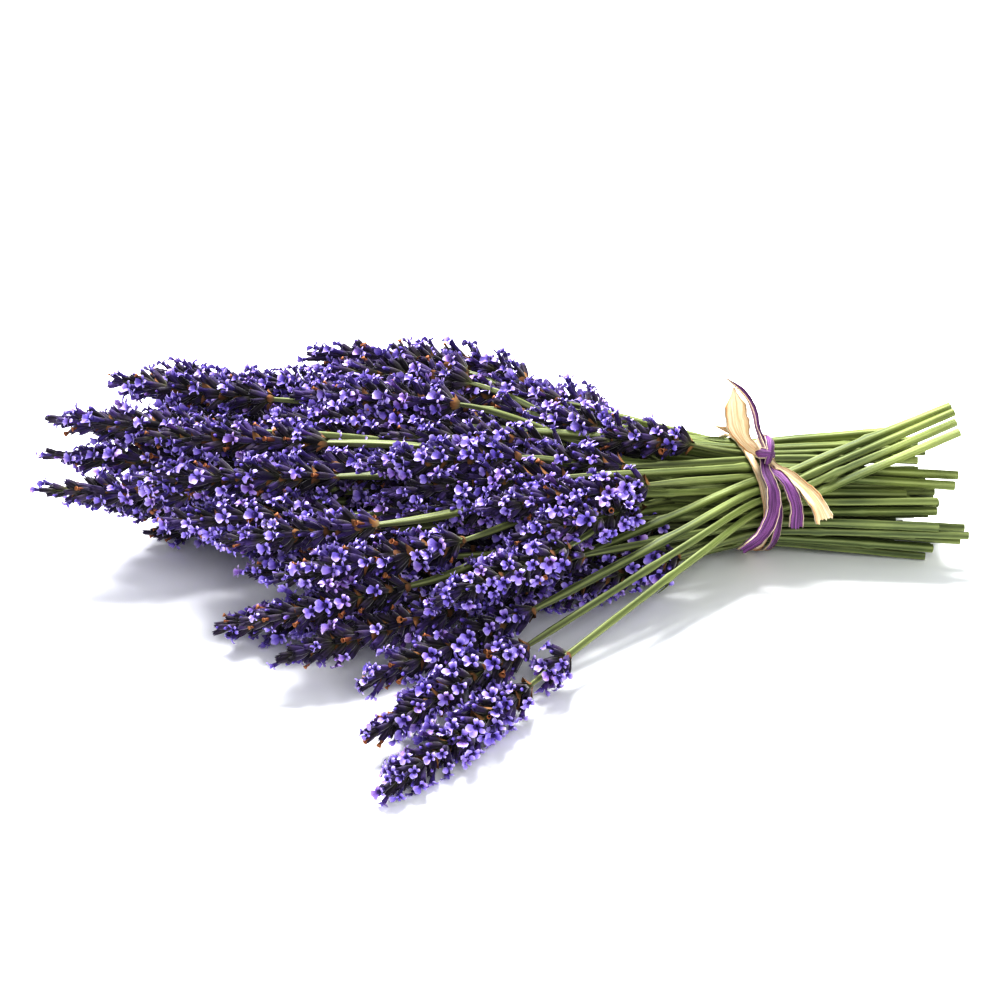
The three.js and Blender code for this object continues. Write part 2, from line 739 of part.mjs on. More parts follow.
const bunch = new THREE.Group();
const stalks = plan();
const core = coreStems();
settle(stalks, [...core, ...endRods()]);
stalks.forEach((stalk, k) =>
  bunch.add(stalkMesh(stalk, `stalk_${String(k + 1).padStart(2, "0")}`)),
);
bunch.add(coreMesh(core));
bunch.add(strandMesh("purple", "purple_raffia"));
bunch.add(strandMesh("cream", "cream_raffia"));

export default bunch;
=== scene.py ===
"""The looks of a bunch of dried lavender that lies on its side, tied with raffia.

Every CAD stalk gives the route that its detailed stem and flower spike are grown along. The stems
in the middle of the bundle, which are one CAD solid, are grown here as separate stalks, and their
spikes go where the CAD stalks leave most room. The raffia is made of curled ribbons.
Lengths are in millimetres until a mesh is made.
"""

import json
import math

import bpy
import numpy as np
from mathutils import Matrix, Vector

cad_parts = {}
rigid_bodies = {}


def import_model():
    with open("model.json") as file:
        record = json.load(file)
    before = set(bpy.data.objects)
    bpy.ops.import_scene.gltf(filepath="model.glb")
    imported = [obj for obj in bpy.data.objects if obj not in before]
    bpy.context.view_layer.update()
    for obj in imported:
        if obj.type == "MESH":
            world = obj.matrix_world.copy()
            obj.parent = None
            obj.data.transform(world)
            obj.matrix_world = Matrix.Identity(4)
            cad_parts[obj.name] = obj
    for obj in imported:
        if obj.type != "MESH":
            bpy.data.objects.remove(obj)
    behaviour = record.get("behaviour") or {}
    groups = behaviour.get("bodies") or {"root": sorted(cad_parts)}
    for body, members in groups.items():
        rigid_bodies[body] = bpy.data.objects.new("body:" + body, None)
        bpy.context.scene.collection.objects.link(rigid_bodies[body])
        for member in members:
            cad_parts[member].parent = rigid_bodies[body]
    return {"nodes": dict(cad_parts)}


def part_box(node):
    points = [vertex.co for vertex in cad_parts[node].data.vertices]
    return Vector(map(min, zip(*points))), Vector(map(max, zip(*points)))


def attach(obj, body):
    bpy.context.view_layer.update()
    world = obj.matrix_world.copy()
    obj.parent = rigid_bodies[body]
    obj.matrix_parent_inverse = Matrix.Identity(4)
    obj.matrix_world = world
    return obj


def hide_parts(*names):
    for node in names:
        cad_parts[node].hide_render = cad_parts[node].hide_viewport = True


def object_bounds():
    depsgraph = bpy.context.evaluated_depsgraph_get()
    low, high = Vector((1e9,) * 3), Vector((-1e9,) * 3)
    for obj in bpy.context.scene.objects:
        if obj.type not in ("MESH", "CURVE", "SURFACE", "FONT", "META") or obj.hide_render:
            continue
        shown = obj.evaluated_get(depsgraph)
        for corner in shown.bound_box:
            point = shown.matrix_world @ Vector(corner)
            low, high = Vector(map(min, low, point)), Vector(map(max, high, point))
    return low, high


for thing in list(bpy.data.objects):
    bpy.data.objects.remove(thing)
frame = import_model()
cad_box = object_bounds()

MM = 0.001
LOWEST = 0.04  # how close to the surface anything comes

# ------------------------------------------------------------------ the plant's sizes

CALYX_LENGTH = 5.8
CALYX_WIDTH = 2.0
FLORET_WIDTH = 5.4
BRACT_LENGTH = 4.2
WHORL_STEP = 4.3  # from one ring of calyces to the next
WHORL_CALYCES = 8
RACHIS_WIDTH = 1.3  # the stem inside a spike
TIP_WIDTH = 0.7  # the stem at the spike's tip
LEAF_LENGTH = 9.0
CAD_STALKS = 56
INNER_SPACING = 0.91  # between the inner stems, in stem widths
BLOOM = 0.44  # share of the calyces with an open floret
BUDS = 0.24  # share with a bud that just shows
SPENT = 0.07  # share with a withered floret
OWN_TINT = 0.3  # how much of a copy's tint comes from the small shape itself

UP = np.array([0.0, 0.0, 1.0])
KINDS = ["stem", "pith", "calyx", "floret", "bract", "spent"]  # the materials of a stalk

# The colour map: the margins that are left free along u, and across each strip's v.
EDGE_ALONG = 0.02
EDGE_ACROSS = 0.04
SHARE_ALONG = 1 - 2 * EDGE_ALONG
SHARE_ACROSS = 1 - 2 * EDGE_ACROSS


def unit(v):
    v = np.asarray(v, float)
    return v / np.maximum(np.linalg.norm(v, axis=-1, keepdims=True), 1e-9)


# ------------------------------------------------------------------ collecting a mesh


class Shapes:
    """The vertices and faces of one piece. kinds are the names of the materials they take.

    at is a vertex's place on the piece's colour map: u runs along the thing, v is its tint or
    goes across it. Each kind has its own strip of the map.
    """

    def __init__(self, kinds):
        self.kinds = kinds
        self.co, self.at, self.quads, self.quad_kinds = [], [], [], []
        self.count = 0

    def add(self, co, at, quads, kind):
        """quads are numbered from the first of co. One whose last two corners agree is a triangle."""
        number = self.kinds.index(kind)
        at = np.clip(np.asarray(at, float), 0, 1)
        rows = len(self.kinds)
        strip = (number + EDGE_ACROSS + SHARE_ACROSS * at[:, 1]) / rows
        self.co.append(np.asarray(co, float))
        self.at.append(np.stack([EDGE_ALONG + SHARE_ALONG * at[:, 0], strip], 1))
        self.quads.append(np.asarray(quads, int) + self.count)
        self.quad_kinds.append(np.full(len(quads), number))
        self.count += len(co)

    def mesh(self, name):
        co = np.concatenate(self.co)
        co[:, 2] = np.maximum(co[:, 2], LOWEST)
        at = np.concatenate(self.at)
        quads = np.concatenate(self.quads)
        kinds = np.concatenate(self.quad_kinds)
        three = quads[:, 2] == quads[:, 3]
        sizes = np.where(three, 3, 4)
        keep = np.ones(quads.shape, bool)
        keep[three, 3] = False
        corners = quads[keep]
        me = bpy.data.meshes.new(name)
        me.vertices.add(len(co))
        me.vertices.foreach_set("co", (co * MM).astype(np.float32).ravel())
        me.loops.add(len(corners))
        me.loops.foreach_set("vertex_index", corners.astype(np.int32))
        me.polygons.add(len(quads))
        starts = np.concatenate([[0], np.cumsum(sizes)[:-1]])
        me.polygons.foreach_set("loop_start", starts.astype(np.int32))
        me.polygons.foreach_set("material_index", kinds.astype(np.int32))
        me.polygons.foreach_set("use_smooth", np.ones(len(quads), bool))
        layer = me.uv_layers.new(name="OFBake")
        layer.uv.foreach_set("vector", at[corners].astype(np.float32).ravel())
        me.update(calc_edges=True)
        for kind in self.kinds:
            me.materials.append(MATERIALS[kind])
        return me

    def piece(self, name, slot, *nodes):
        ob = bpy.data.objects.new(name, self.mesh(name))
        bpy.context.scene.collection.objects.link(ob)
        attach(ob, "root")
        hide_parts(*nodes)


def grid(rows, columns, closed=False):
    """The quads of a grid of vertices, row by row. closed joins its last column to its first."""
    r = np.arange(rows - 1)[:, None] * columns
    c = np.arange(columns if closed else columns - 1)
    n = (c + 1) % columns
    return np.stack([r + c, r + n, r + columns + n, r + columns + c], -1).reshape(-1, 4)


class Template:
    """A small shape that is placed many times: its base at the origin, pointing along +Z."""

    def __init__(self, co, at, quads):
        self.co, self.at, self.quads = np.asarray(co, float), np.asarray(at, float), quads

    @staticmethod
    def joined(parts):
        count = np.cumsum([0] + [len(p.co) for p in parts])
        return Template(
            np.concatenate([p.co for p in parts]),
            np.concatenate([p.at for p in parts]),
            np.concatenate([p.quads + n for p, n in zip(parts, count)]),
        )

    def place(self, shapes, kind, origins, axes, sizes, tints):
        """Adds copies. The rows of each of axes are where that copy's X, Y and Z point."""
        n = len(self.co)
        m = len(origins)
        if m == 0:
            return
        co = np.einsum("vk,mkc->mvc", self.co, axes * np.asarray(sizes)[:, None, None])
        co += origins[:, None, :]
        at = np.repeat(self.at[None], m, 0)
        at[:, :, 1] = OWN_TINT * at[:, :, 1] + (1 - OWN_TINT) * np.asarray(tints)[:, None]
        quads = self.quads[None] + (np.arange(m) * n)[:, None, None]
        shapes.add(co.reshape(-1, 3), at.reshape(-1, 2), quads.reshape(-1, 4), kind)


# ------------------------------------------------------------------ the small shapes


def calyx(lean):
    """A ribbed tube that swells towards its mouth, where it has five short teeth."""
    sides = 10
    rows = [(0, 0.34), (0.1, 0.55), (0.34, 0.86), (0.62, 1), (0.84, 0.96), (1, 0.84), (0.88, 0.4)]
    turn = np.arange(sides) * 2 * math.pi / sides
    ribbed = np.arange(sides) % 2 == 0
    co, at = [], []
    for k, (share, width) in enumerate(rows):
        r = CALYX_WIDTH / 2 * width * (np.where(ribbed, 1.0, 0.74) if 0 < k < 6 else 0.9)
        tooth = np.where(ribbed, 0.45, -0.35) * (k == 5)
        z = CALYX_LENGTH * share + tooth
        bend = lean * (share**2) * CALYX_LENGTH
        co.append(np.stack([r * np.cos(turn) + bend, r * np.sin(turn), z + 0 * turn], 1))
        # the last row is the lip that turns into the mouth; it takes the end of the colour map, where
        # the calyx's colour is painted shade
        along = 1.0 if k == 6 else share * 0.9
        # ribs take the pale end of the tint and the grooves the dark end: partly the ribs' down,
        # partly a painted highlight on the ribs and painted shade in the grooves
        at.append(np.stack([np.full(sides, along), np.where(ribbed, 1.0, 0.0)], 1))
    return Template(np.concatenate(co), np.concatenate(at), grid(len(rows), sides, True))


def petal(rng, turn, length, width, opening, start):
    """One crumpled lobe of a floret: it leaves the tube's mouth, bends outwards and rolls back."""
    rows, columns = 5, 4
    t = np.linspace(0, 1, rows)
    bend = np.radians(opening) * np.sin(t * math.pi / 2) ** 0.8
    step = length / (rows - 1)
    out = 0.6 + np.concatenate([[0], np.cumsum(np.sin((bend[1:] + bend[:-1]) / 2) * step)])
    rise = start + np.concatenate([[0], np.cumsum(np.cos((bend[1:] + bend[:-1]) / 2) * step)])
    half = width / 2 * np.interp(t, [0, 0.3, 0.65, 0.88, 1], [0.5, 0.7, 1.0, 0.86, 0.42])
    j = np.linspace(-1, 1, columns)
    twist = rng.uniform(-0.7, 0.7) * t
    cup = rng.uniform(-0.35, 0.6)
    crimp = rng.uniform(0.05, 0.16)
    side = j[None] * half[:, None]
    lift = cup * (j[None] ** 2) * half[:, None] + crimp * np.sin(7 * t[:, None] + 3 * j[None] + turn)
    across = side * np.cos(twist)[:, None] - lift * np.sin(twist)[:, None]
    inward = side * np.sin(twist)[:, None] + lift * np.cos(twist)[:, None]
    x = out[:, None] - inward * np.cos(bend)[:, None]
    z = rise[:, None] + inward * np.sin(bend)[:, None] - 0.12 * length * (j[None] ** 2) * t[:, None]
    c, s = math.cos(turn), math.sin(turn)
    co = np.stack([x * c - across * s, x * s + across * c, z], -1).reshape(-1, 3)
    at = np.stack([np.repeat(0.3 + 0.7 * t, columns), np.tile((j + 1) / 2, rows)], 1)
    return Template(co, at, grid(rows, columns))


def tube(heights, radii, along):
    """A tube round +Z, whose place on the colour map goes from 0 to along."""
    sides = 7
    turn = np.arange(sides) * 2 * math.pi / sides
    co, at = [], []
    for k, (z, r) in enumerate(zip(heights, radii)):
        co.append(np.stack([r * np.cos(turn), r * np.sin(turn), np.full(sides, z)], 1))
        at.append(np.stack([np.full(sides, along * k / (len(radii) - 1)), 0 * turn], 1))
    return Template(np.concatenate(co), np.concatenate(at), grid(len(radii), sides, True))


OPENNESS = [1.0, 0.75, 1.15, 0.5, 0.9, 1.05]  # of each form of floret


def floret(number):
    """A two-lipped floret: two larger upper lobes, and three narrow ones below that roll back."""
    rng = np.random.default_rng(40 + number)
    lobes = []
    for turn, length, width, opening in [
        (26, 0.42, 0.4, 62),
        (-26, 0.42, 0.4, 66),
        (104, 0.33, 0.27, 108),
        (180, 0.36, 0.3, 122),
        (-104, 0.33, 0.27, 112),
    ]:
        length *= FLORET_WIDTH * rng.uniform(0.78, 1.15)
        width *= FLORET_WIDTH * rng.uniform(0.8, 1.12)
        opening *= OPENNESS[number] * rng.uniform(0.75, 1.25)
        turn = math.radians(turn + rng.uniform(-14, 14))
        lobes.append(petal(rng, turn, length, width, opening, 2.0 + 0.3 * math.cos(turn)))
    throat = tube([-1.4, 0.3, 1.3, 2.1, 1.0], [0.45, 0.55, 0.75, 0.85, 0.25], 0.3)
    return Template.joined([throat, *lobes])


def bud():
    """A closed floret's rounded tip, which just shows in the calyx's mouth."""
    return tube([-1.2, -0.1, 0.6, 1.1, 1.3], [0.45, 0.62, 0.6, 0.36, 0.05], 0.8)


def withered(number):
    """A spent floret: a shrunken, flared and empty tube."""
    rng = np.random.default_rng(60 + number)
    radii = np.array([0.42, 0.5, 0.36, 0.7, 0.4]) * rng.uniform(0.8, 1.2, 5)
    # the tube's inner ring takes the end of the colour map, which is painted dark as shade
    return tube([-1.0, 0.3, 1.1, 1.9, 1.0], radii, 1.0)


def bract():
    """A broad papery scale with a drawn-out point, cupped round the calyces."""
    rows, columns = 6, 5
    co, at = [], []
    for i in range(rows):
        t = i / (rows - 1)
        half = BRACT_LENGTH * 0.4 * math.sin(math.pi * (0.12 + 0.88 * t) ** 0.8) + 0.05
        for j in range(columns):
            s = j / (columns - 1) * 2 - 1
            cup = 1.1 * s * s * math.sin(math.pi * t) - 0.5 * t * t
            co.append([cup, s * half, BRACT_LENGTH * t])
            at.append([t, 0.5 + 0.5 * s])
    return Template(co, at, grid(rows, columns))


CALYCES = [calyx(lean) for lean in (-0.05, 0.08, 0.18)]
FLORETS = [floret(number) for number in range(len(OPENNESS))]
WITHERED = [withered(number) for number in range(3)]
BUD, BRACT = bud(), bract()


# ------------------------------------------------------------------ routes


class Route:
    """A smooth line through points, with a frame at each step. A stalk's starts at its cut end.

    knots are the distances of the points along it. radii are the spike's outline at the knots.
    """

    STEP = 0.5
    FINE = 24  # steps from one point to the next while the line is worked out

    def __init__(self, points, radii=None):
        points = np.asarray(points, float)
        ends = [2 * points[0] - points[1], 2 * points[-1] - points[-2]]
        p = np.concatenate([[ends[0]], points, [ends[1]]])
        fine = []
        for k in range(1, len(p) - 2):
            d = [max(np.linalg.norm(p[k + i] - p[k + i - 1]), 1e-6) ** 0.5 for i in range(3)]
            m1 = d[1] * ((p[k] - p[k - 1]) / d[0] - (p[k + 1] - p[k - 1]) / (d[0] + d[1]))
            m1 += p[k + 1] - p[k]
            m2 = d[1] * ((p[k + 2] - p[k + 1]) / d[2] - (p[k + 2] - p[k]) / (d[1] + d[2]))
            m2 += p[k + 1] - p[k]
            t = np.linspace(0, 1, self.FINE, endpoint=False)[:, None]
            a, b = 2 * t**3 - 3 * t**2 + 1, t**3 - 2 * t**2 + t
            c, e = -2 * t**3 + 3 * t**2, t**3 - t**2
            fine.append(a * p[k] + b * m1 + c * p[k + 1] + e * m2)
        fine = np.concatenate(fine + [p[-2:-1]])
        far = np.concatenate([[0], np.cumsum(np.linalg.norm(np.diff(fine, axis=0), axis=1))])
        self.length = far[-1]
        self.s = np.linspace(0, self.length, max(8, int(self.length / self.STEP)))
        self.co = np.stack([np.interp(self.s, far, fine[:, c]) for c in range(3)], 1)
        self.way = unit(np.gradient(self.co, axis=0))
        side = unit(np.cross(self.way[0], UP))
        sides = []
        for w in self.way:
            side = unit(side - np.dot(side, w) * w)
            sides.append(side)
        self.side = np.array(sides)
        self.up = np.cross(self.side, self.way)
        self.knots = far[:: self.FINE][: len(points)]
        self.radii = radii

    def index(self, s):
        """The step nearest to a distance along the line."""
        last = len(self.s) - 1
        return np.clip(np.round(np.asarray(s) / self.length * last), 0, last).astype(int)

    def radius(self, s):
        return np.interp(s, self.knots, self.radii)


def rings_of(name):
    """A CAD stalk's rings, from its cut end to its tip: their middles and their radii."""
    me = frame["nodes"][name].data
    co = np.array([v.co for v in me.vertices]) / MM
    _, first, same = np.unique(co.round(3), axis=0, return_index=True, return_inverse=True)
    same = same.ravel()
    co = co[first]
    near = [set() for _ in co]
    for poly in me.polygons:
        ids = {int(same[i]) for i in poly.vertices}
        for i in ids:
            near[i] |= ids
    start = int(np.argmax(co[:, 0]))
    level = {i for i in range(len(co)) if np.linalg.norm(co[i] - co[start]) < 4}
    seen = set()
    middles, radii = [], []
    while level:
        ring = co[sorted(level)]
        if len(ring) >= 5:
            middle = ring.mean(0)
            middles.append(middle)
            radii.append(np.linalg.norm(ring - middle, axis=1).max())
        seen |= level
        level = set().union(*(near[i] for i in level)) - seen
    return np.array(middles), np.array(radii)


# ------------------------------------------------------------------ growing a stalk


def grow_stem(shapes, route, rng, base):
    """The stem: four rounded ridges, a swelling or two with small leaves, and the cut's pith."""
    s = np.concatenate([np.arange(0, route.length - 3, 2.5), [route.length - 2.5]])
    sides = 12
    turn = np.arange(sides + 1) * 2 * math.pi / sides
    twist = rng.uniform(0, 6) + s * 0.004
    i = route.index(s)
    width = 2 * route.radii[0]
    widths = [width, width * 0.94, RACHIS_WIDTH, TIP_WIDTH]
    taper = np.interp(s, [0, base - 10, base, route.length], widths) / 2
    nodes = [base - d for d in (rng.uniform(38, 62), rng.uniform(85, 130)) if base - d > 6]
    for node in nodes:
        taper *= 1 + 0.28 * np.exp(-(((s - node) / 1.6) ** 2))
    wobble = 1 + 0.03 * np.sin(s * 0.35 + twist[0]) + 0.02 * np.sin(s * 1.1)
    ridge = 1 + 0.1 * np.cos(4 * turn)[None, :]
    r = (taper * wobble)[:, None] * ridge
    a = turn[None, :] + twist[:, None]
    co = route.co[i][:, None] + r[..., None] * (
        np.cos(a)[..., None] * route.side[i][:, None] + np.sin(a)[..., None] * route.up[i][:, None]
    )
    along = np.interp(s, [0, base, route.length], [0.0, 0.8, 1.0])
    at = np.stack([np.repeat(along, sides + 1), np.tile(turn / (2 * math.pi), len(s))], 1)
    shapes.add(co.reshape(-1, 3), at, grid(len(s), sides + 1)[:, ::-1], "stem")
    # the cut end: a pale, slightly sunken disc
    rng.random(2)  # unused, so that the draws after these stay the same
    rim = co[0]
    way = route.way[0]
    middle = route.co[0]
    sunken = middle + (rim - middle) * 0.7 + way * 0.18
    centre = np.repeat([middle + way * 0.12], sides + 1, 0)
    disc = np.concatenate([rim, sunken, centre])
    across = np.repeat([0.0, 0.45, 1.0], sides + 1)
    at = np.stack([across, np.tile(turn / (2 * math.pi), 3)], 1)
    shapes.add(disc, at, grid(3, sides + 1), "pith")
    for node in nodes:
        if rng.random() < 0.55:
            grow_leaves(shapes, route, rng, node)


def grow_leaves(shapes, route, rng, s):
    """A pair of narrow, rolled leaves from a node, which stay close to the stem."""
    i = int(route.index(s))
    around = rng.uniform(0, 2 * math.pi)
    for turn in (around, around + math.pi):
        if rng.random() < 0.35:
            continue
        out = math.cos(turn) * route.side[i] + math.sin(turn) * route.up[i]
        length = LEAF_LENGTH * rng.uniform(0.45, 1.0)
        rows, columns = 8, 5
        t = np.linspace(0, 1, rows)
        lift = 1.1 + length * (0.2 * t - 0.1 * t**2) * rng.uniform(0.3, 0.8)
        spine = route.co[i] + route.way[i] * (t * length * 0.96)[:, None] + out * lift[:, None]
        across = np.cross(route.way[i], out)
        half = 0.75 * np.sin(np.pi * (0.15 + 0.85 * t)) + 0.05
        j = np.linspace(-1, 1, columns)
        co = spine[:, None] + across * (half[:, None] * j)[..., None]
        co = co + out * (0.45 * half[:, None] * j**2)[..., None]
        at = np.stack([np.repeat(t * 0.4 + 0.2, columns), np.tile((j + 1) / 2, rows)], 1)
        shapes.add(co.reshape(-1, 3), at, grid(rows, columns), "stem")


def grow_whorl(shapes, route, rng, s, radius, number, bloom, tip_share):
    """One ring of calyces round the stem at s, with their florets and two or three bracts below."""
    count = max(4, int(round(WHORL_CALYCES * min(1, radius / 4.6 + 0.1))))
    places = np.arange(count) + rng.uniform(-0.25, 0.25, count)
    turn = number * 0.8 + places * 2 * math.pi / count
    along = s + rng.uniform(-0.9, 0.9, count)
    i = route.index(along)
    out = np.cos(turn)[:, None] * route.side[i] + np.sin(turn)[:, None] * route.up[i]
    size = np.clip(0.6 + 0.4 * radius / 5, 0.5, 1.05) * rng.uniform(0.85, 1.12, count)
    want = np.clip((0.9 * radius - 0.4) / (CALYX_LENGTH * size), 0.16, 0.92)
    lean = np.arcsin(want) + rng.uniform(-0.24, 0.16, count)
    z = unit(route.way[i] * np.cos(lean)[:, None] + out * np.sin(lean)[:, None])
    x = unit(np.cross(np.cross(z, route.way[i]), z))  # towards the spike's tip
    spin = rng.normal(0, 0.35, count)[:, None]
    x = unit(x * np.cos(spin) + np.cross(z, x) * np.sin(spin))
    axes = np.stack([x, np.cross(z, x), z], 1)
    origin = route.co[i] + out * 0.45
    tint = np.clip(rng.normal(0.5, 0.24, count), 0, 1)
    form = rng.integers(0, len(CALYCES), count)
    for k, shape in enumerate(CALYCES):
        pick = form == k
        shape.place(shapes, "calyx", origin[pick], axes[pick], size[pick], tint[pick])
    mouth = origin + z * (CALYX_LENGTH * size * 0.94)[:, None]
    draw = rng.random(count)
    share = bloom * (1.25 if tip_share < 0.8 else 0.8)
    opened = draw < share
    shy = (draw >= share) & (draw < share + BUDS)
    spent = (draw >= share + BUDS) & (draw < share + BUDS + SPENT)
    tone = np.clip(rng.normal(0.5, 0.27, count), 0, 1)
    scale = size * rng.uniform(0.75, 1.12, count)
    form = rng.integers(0, len(FLORETS), count)
    for k, shape in enumerate(FLORETS):
        pick = opened & (form == k)
        shape.place(shapes, "floret", mouth[pick], axes[pick], scale[pick], tone[pick])
    BUD.place(shapes, "floret", mouth[shy], axes[shy], scale[shy] * 0.9, tone[shy] * 0.5)
    for k, shape in enumerate(WITHERED):
        pick = spent & (form % len(WITHERED) == k)
        shape.place(shapes, "spent", mouth[pick], axes[pick], scale[pick], tone[pick])
    scales = 2 + int(rng.random() < 0.5)
    turn = number * 0.8 + 0.6 + np.arange(scales) * 2 * math.pi / scales
    turn = turn + rng.uniform(-0.4, 0.4, scales)
    j = np.full(scales, int(route.index(s - 1.2)))
    out = np.cos(turn)[:, None] * route.side[j] + np.sin(turn)[:, None] * route.up[j]
    z = unit(route.way[j] * 0.72 + out * rng.uniform(0.5, 0.85, scales)[:, None])
    x = unit(np.cross(np.cross(z, -out), z))
    axes = np.stack([x, np.cross(z, x), z], 1)
    reach = rng.uniform(0.7, 1.1, scales) * min(1, radius / 5)
    BRACT.place(shapes, "bract", route.co[j] + out * 0.7, axes, reach, rng.random(scales))


def grow_spike(shapes, route, rng, base, bloom):
    """The spike: whorls from its base to its tip, closer together towards the tip."""
    tip = route.length
    s = base + 1.0
    number = int(rng.integers(0, 9))
    while s < tip - 2.2:
        share = (s - base) / (tip - base)
        radius = float(route.radius(min(s + 3.2, tip)))
        grow_whorl(shapes, route, rng, s, radius, number, bloom, share)
        s += WHORL_STEP * (1.05 - 0.4 * share) * rng.uniform(0.9, 1.1)
        number += 1


def grow_stalk(shapes, route, rng, base, whorl=None):
    """A stalk along its route: its spike starts at base, and whorl is where a lone one stands."""
    grow_stem(shapes, route, rng, base)
    bloom = BLOOM * rng.uniform(0.45, 1.45)
    if whorl is not None:
        grow_whorl(shapes, route, rng, whorl - 1.8, 4.2, 3, bloom * 1.3, 0.3)
        grow_whorl(shapes, route, rng, whorl + 0.4, 3.8, 4, bloom * 1.3, 0.3)
    grow_spike(shapes, route, rng, base, bloom)


def spike_start(radii):
    """The numbers of the last ring before the spike, and of the lone whorl's ring if it has one."""
    wide = radii > 1.3 * radii[0]
    last_thin = max(k for k in range(len(radii) - 1) if not wide[k])
    alone = [k for k in range(last_thin) if wide[k]]
    return last_thin, (alone[0] if alone else None)


# ------------------------------------------------------------------ materials


def linear(colour):
    """From 0 to 255 as seen to the numbers that shaders use."""
    c = np.asarray(colour, float) / 255
    rgb = np.where(c <= 0.04045, c / 12.92, ((c + 0.055) / 1.055) ** 2.4)
    return (*rgb.tolist(), 1.0)


class Nodes:
    """A material's node tree, built step by step."""

    def __init__(self, name, roughness, **sockets):
        self.mat = bpy.data.materials.new(name)
        self.mat.use_nodes = True
        self.tree = self.mat.node_tree
        self.shader = self.tree.nodes["Principled BSDF"]
        self.shader.inputs["Roughness"].default_value = roughness
        for socket, value in sockets.items():
            self.shader.inputs[socket.replace("_", " ").title()].default_value = value

    def node(self, kind, **options):
        node = self.tree.nodes.new(kind)
        for key, value in options.items():
            setattr(node, key, value)
        return node

    def link(self, a, b):
        self.tree.links.new(a, b)

    def map_place(self, kind, kinds):
        """u, and v within the kind's strip of the colour map."""
        uv = self.node("ShaderNodeUVMap", uv_map="OFBake")
        split = self.node("ShaderNodeSeparateXYZ")
        self.link(uv.outputs[0], split.inputs[0])
        start = kinds.index(kind) + EDGE_ACROSS
        v = self.stretched(split.outputs[1], len(kinds) / SHARE_ACROSS, -start / SHARE_ACROSS)
        u = self.stretched(split.outputs[0], 1 / SHARE_ALONG, -EDGE_ALONG / SHARE_ALONG)
        return u, v

    def set_or_link(self, socket, value):
        if isinstance(value, (int, float, tuple)):
            socket.default_value = value
        else:
            self.link(value, socket)

    def maths(self, operation, a, b=None, c=None):
        node = self.node("ShaderNodeMath", operation=operation)
        for socket, value in zip(node.inputs, (a, b, c)):
            if value is not None:
                self.set_or_link(socket, value)
        return node.outputs[0]

    def stretched(self, value, factor, offset):
        return self.maths("MULTIPLY_ADD", value, factor, offset)

    def ramp(self, value, stops):
        """stops are places from 0 to 1 with a grey from 0 to 1 or a colour from 0 to 255."""
        node = self.node("ShaderNodeValToRGB")
        elements = node.color_ramp.elements
        while len(elements) < len(stops):
            elements.new(0.5)
        for element, (at, colour) in zip(elements, stops):
            element.position = at
            element.color = linear(colour) if np.ndim(colour) else (colour, colour, colour, 1)
        self.link(value, node.inputs[0])
        return node.outputs[0]

    def mix(self, factor, a, b):
        node = self.node("ShaderNodeMix", data_type="RGBA")
        self.set_or_link(node.inputs[0], factor)
        self.set_or_link(node.inputs[6], a)
        self.set_or_link(node.inputs[7], b)
        return node.outputs[2]

    def vector(self, x, y):
        node = self.node("ShaderNodeCombineXYZ")
        self.link(x, node.inputs[0])
        self.link(y, node.inputs[1])
        return node.outputs[0]

    def stripes(self, u, v, along, across, detail, rough=0.6):
        """Noise that is drawn out: along is its scale along u, and across is its scale along v."""
        where = self.vector(self.maths("MULTIPLY", u, along), self.maths("MULTIPLY", v, across))
        return self.noise(where, 1.0, detail, rough)

    def noise(self, where, scale, detail=3.0, rough=0.6):
        node = self.node("ShaderNodeTexNoise")
        node.inputs["Scale"].default_value = scale
        node.inputs["Detail"].default_value = detail
        node.inputs["Roughness"].default_value = rough
        self.link(where, node.inputs["Vector"])
        return node.outputs[0]

    def bump(self, height, strength, distance=0.0002):
        node = self.node("ShaderNodeBump")
        node.inputs["Strength"].default_value = strength
        node.inputs["Distance"].default_value = distance
        self.link(height, node.inputs["Height"])
        self.link(node.outputs[0], self.shader.inputs["Normal"])

    def colour(self, value):
        self.link(value, self.shader.inputs["Base Color"])

    def roughness(self, value):
        self.link(value, self.shader.inputs["Roughness"])

    def place(self):
        return self.node("ShaderNodeTexCoord").outputs["Object"]


def stem_material():
    """Dry green stems: yellow-green by the cut ends, greyer by the spikes, paler along the ridges."""
    n = Nodes("stem", 0.55)
    u, v = n.map_place("stem", KINDS)
    greens = [(0.0, (142, 152, 84)), (0.3, (116, 128, 64)), (0.62, (110, 120, 68))]
    greens += [(0.85, (98, 102, 72)), (1.0, (62, 62, 50))]
    dulls = [(0.0, (72, 86, 40)), (0.4, (62, 76, 36)), (0.75, (66, 74, 44)), (1.0, (48, 46, 38))]
    patches = n.ramp(n.noise(n.place(), 34.0, 1.0), [(0.35, 0.0), (0.65, 1.0)])
    base = n.mix(patches, n.ramp(u, greens), n.ramp(u, dulls))
    ridge = n.maths("COSINE", n.maths("MULTIPLY", v, 8 * math.pi))
    base = n.mix(n.stretched(ridge, 0.2, 0.2), base, linear((178, 188, 124)))
    streaks = n.stripes(u, v, 14, 26, 4.0)
    dark = n.ramp(streaks, [(0.45, 0.0), (0.75, 0.45)])
    base = n.mix(dark, base, linear((36, 44, 18)))
    n.colour(base)
    n.roughness(n.ramp(streaks, [(0.3, 0.42), (0.7, 0.68)]))
    n.bump(n.maths("ADD", streaks, n.maths("MULTIPLY", ridge, 0.4)), 0.5)
    return n.mat


def pith_material():
    """A cut end: green at the rim and nearly white in the middle."""
    n = Nodes("pith", 0.85)
    u, _ = n.map_place("pith", KINDS)
    speckle = n.noise(n.place(), 1500.0, 4.0)
    core = n.ramp(u, [(0.0, (150, 160, 92)), (0.3, (206, 205, 150)), (1.0, (238, 232, 200))])
    n.colour(n.mix(n.ramp(speckle, [(0.4, 0.0), (0.7, 0.55)]), core, linear((176, 160, 104))))
    n.bump(speckle, 0.6)
    return n.mat


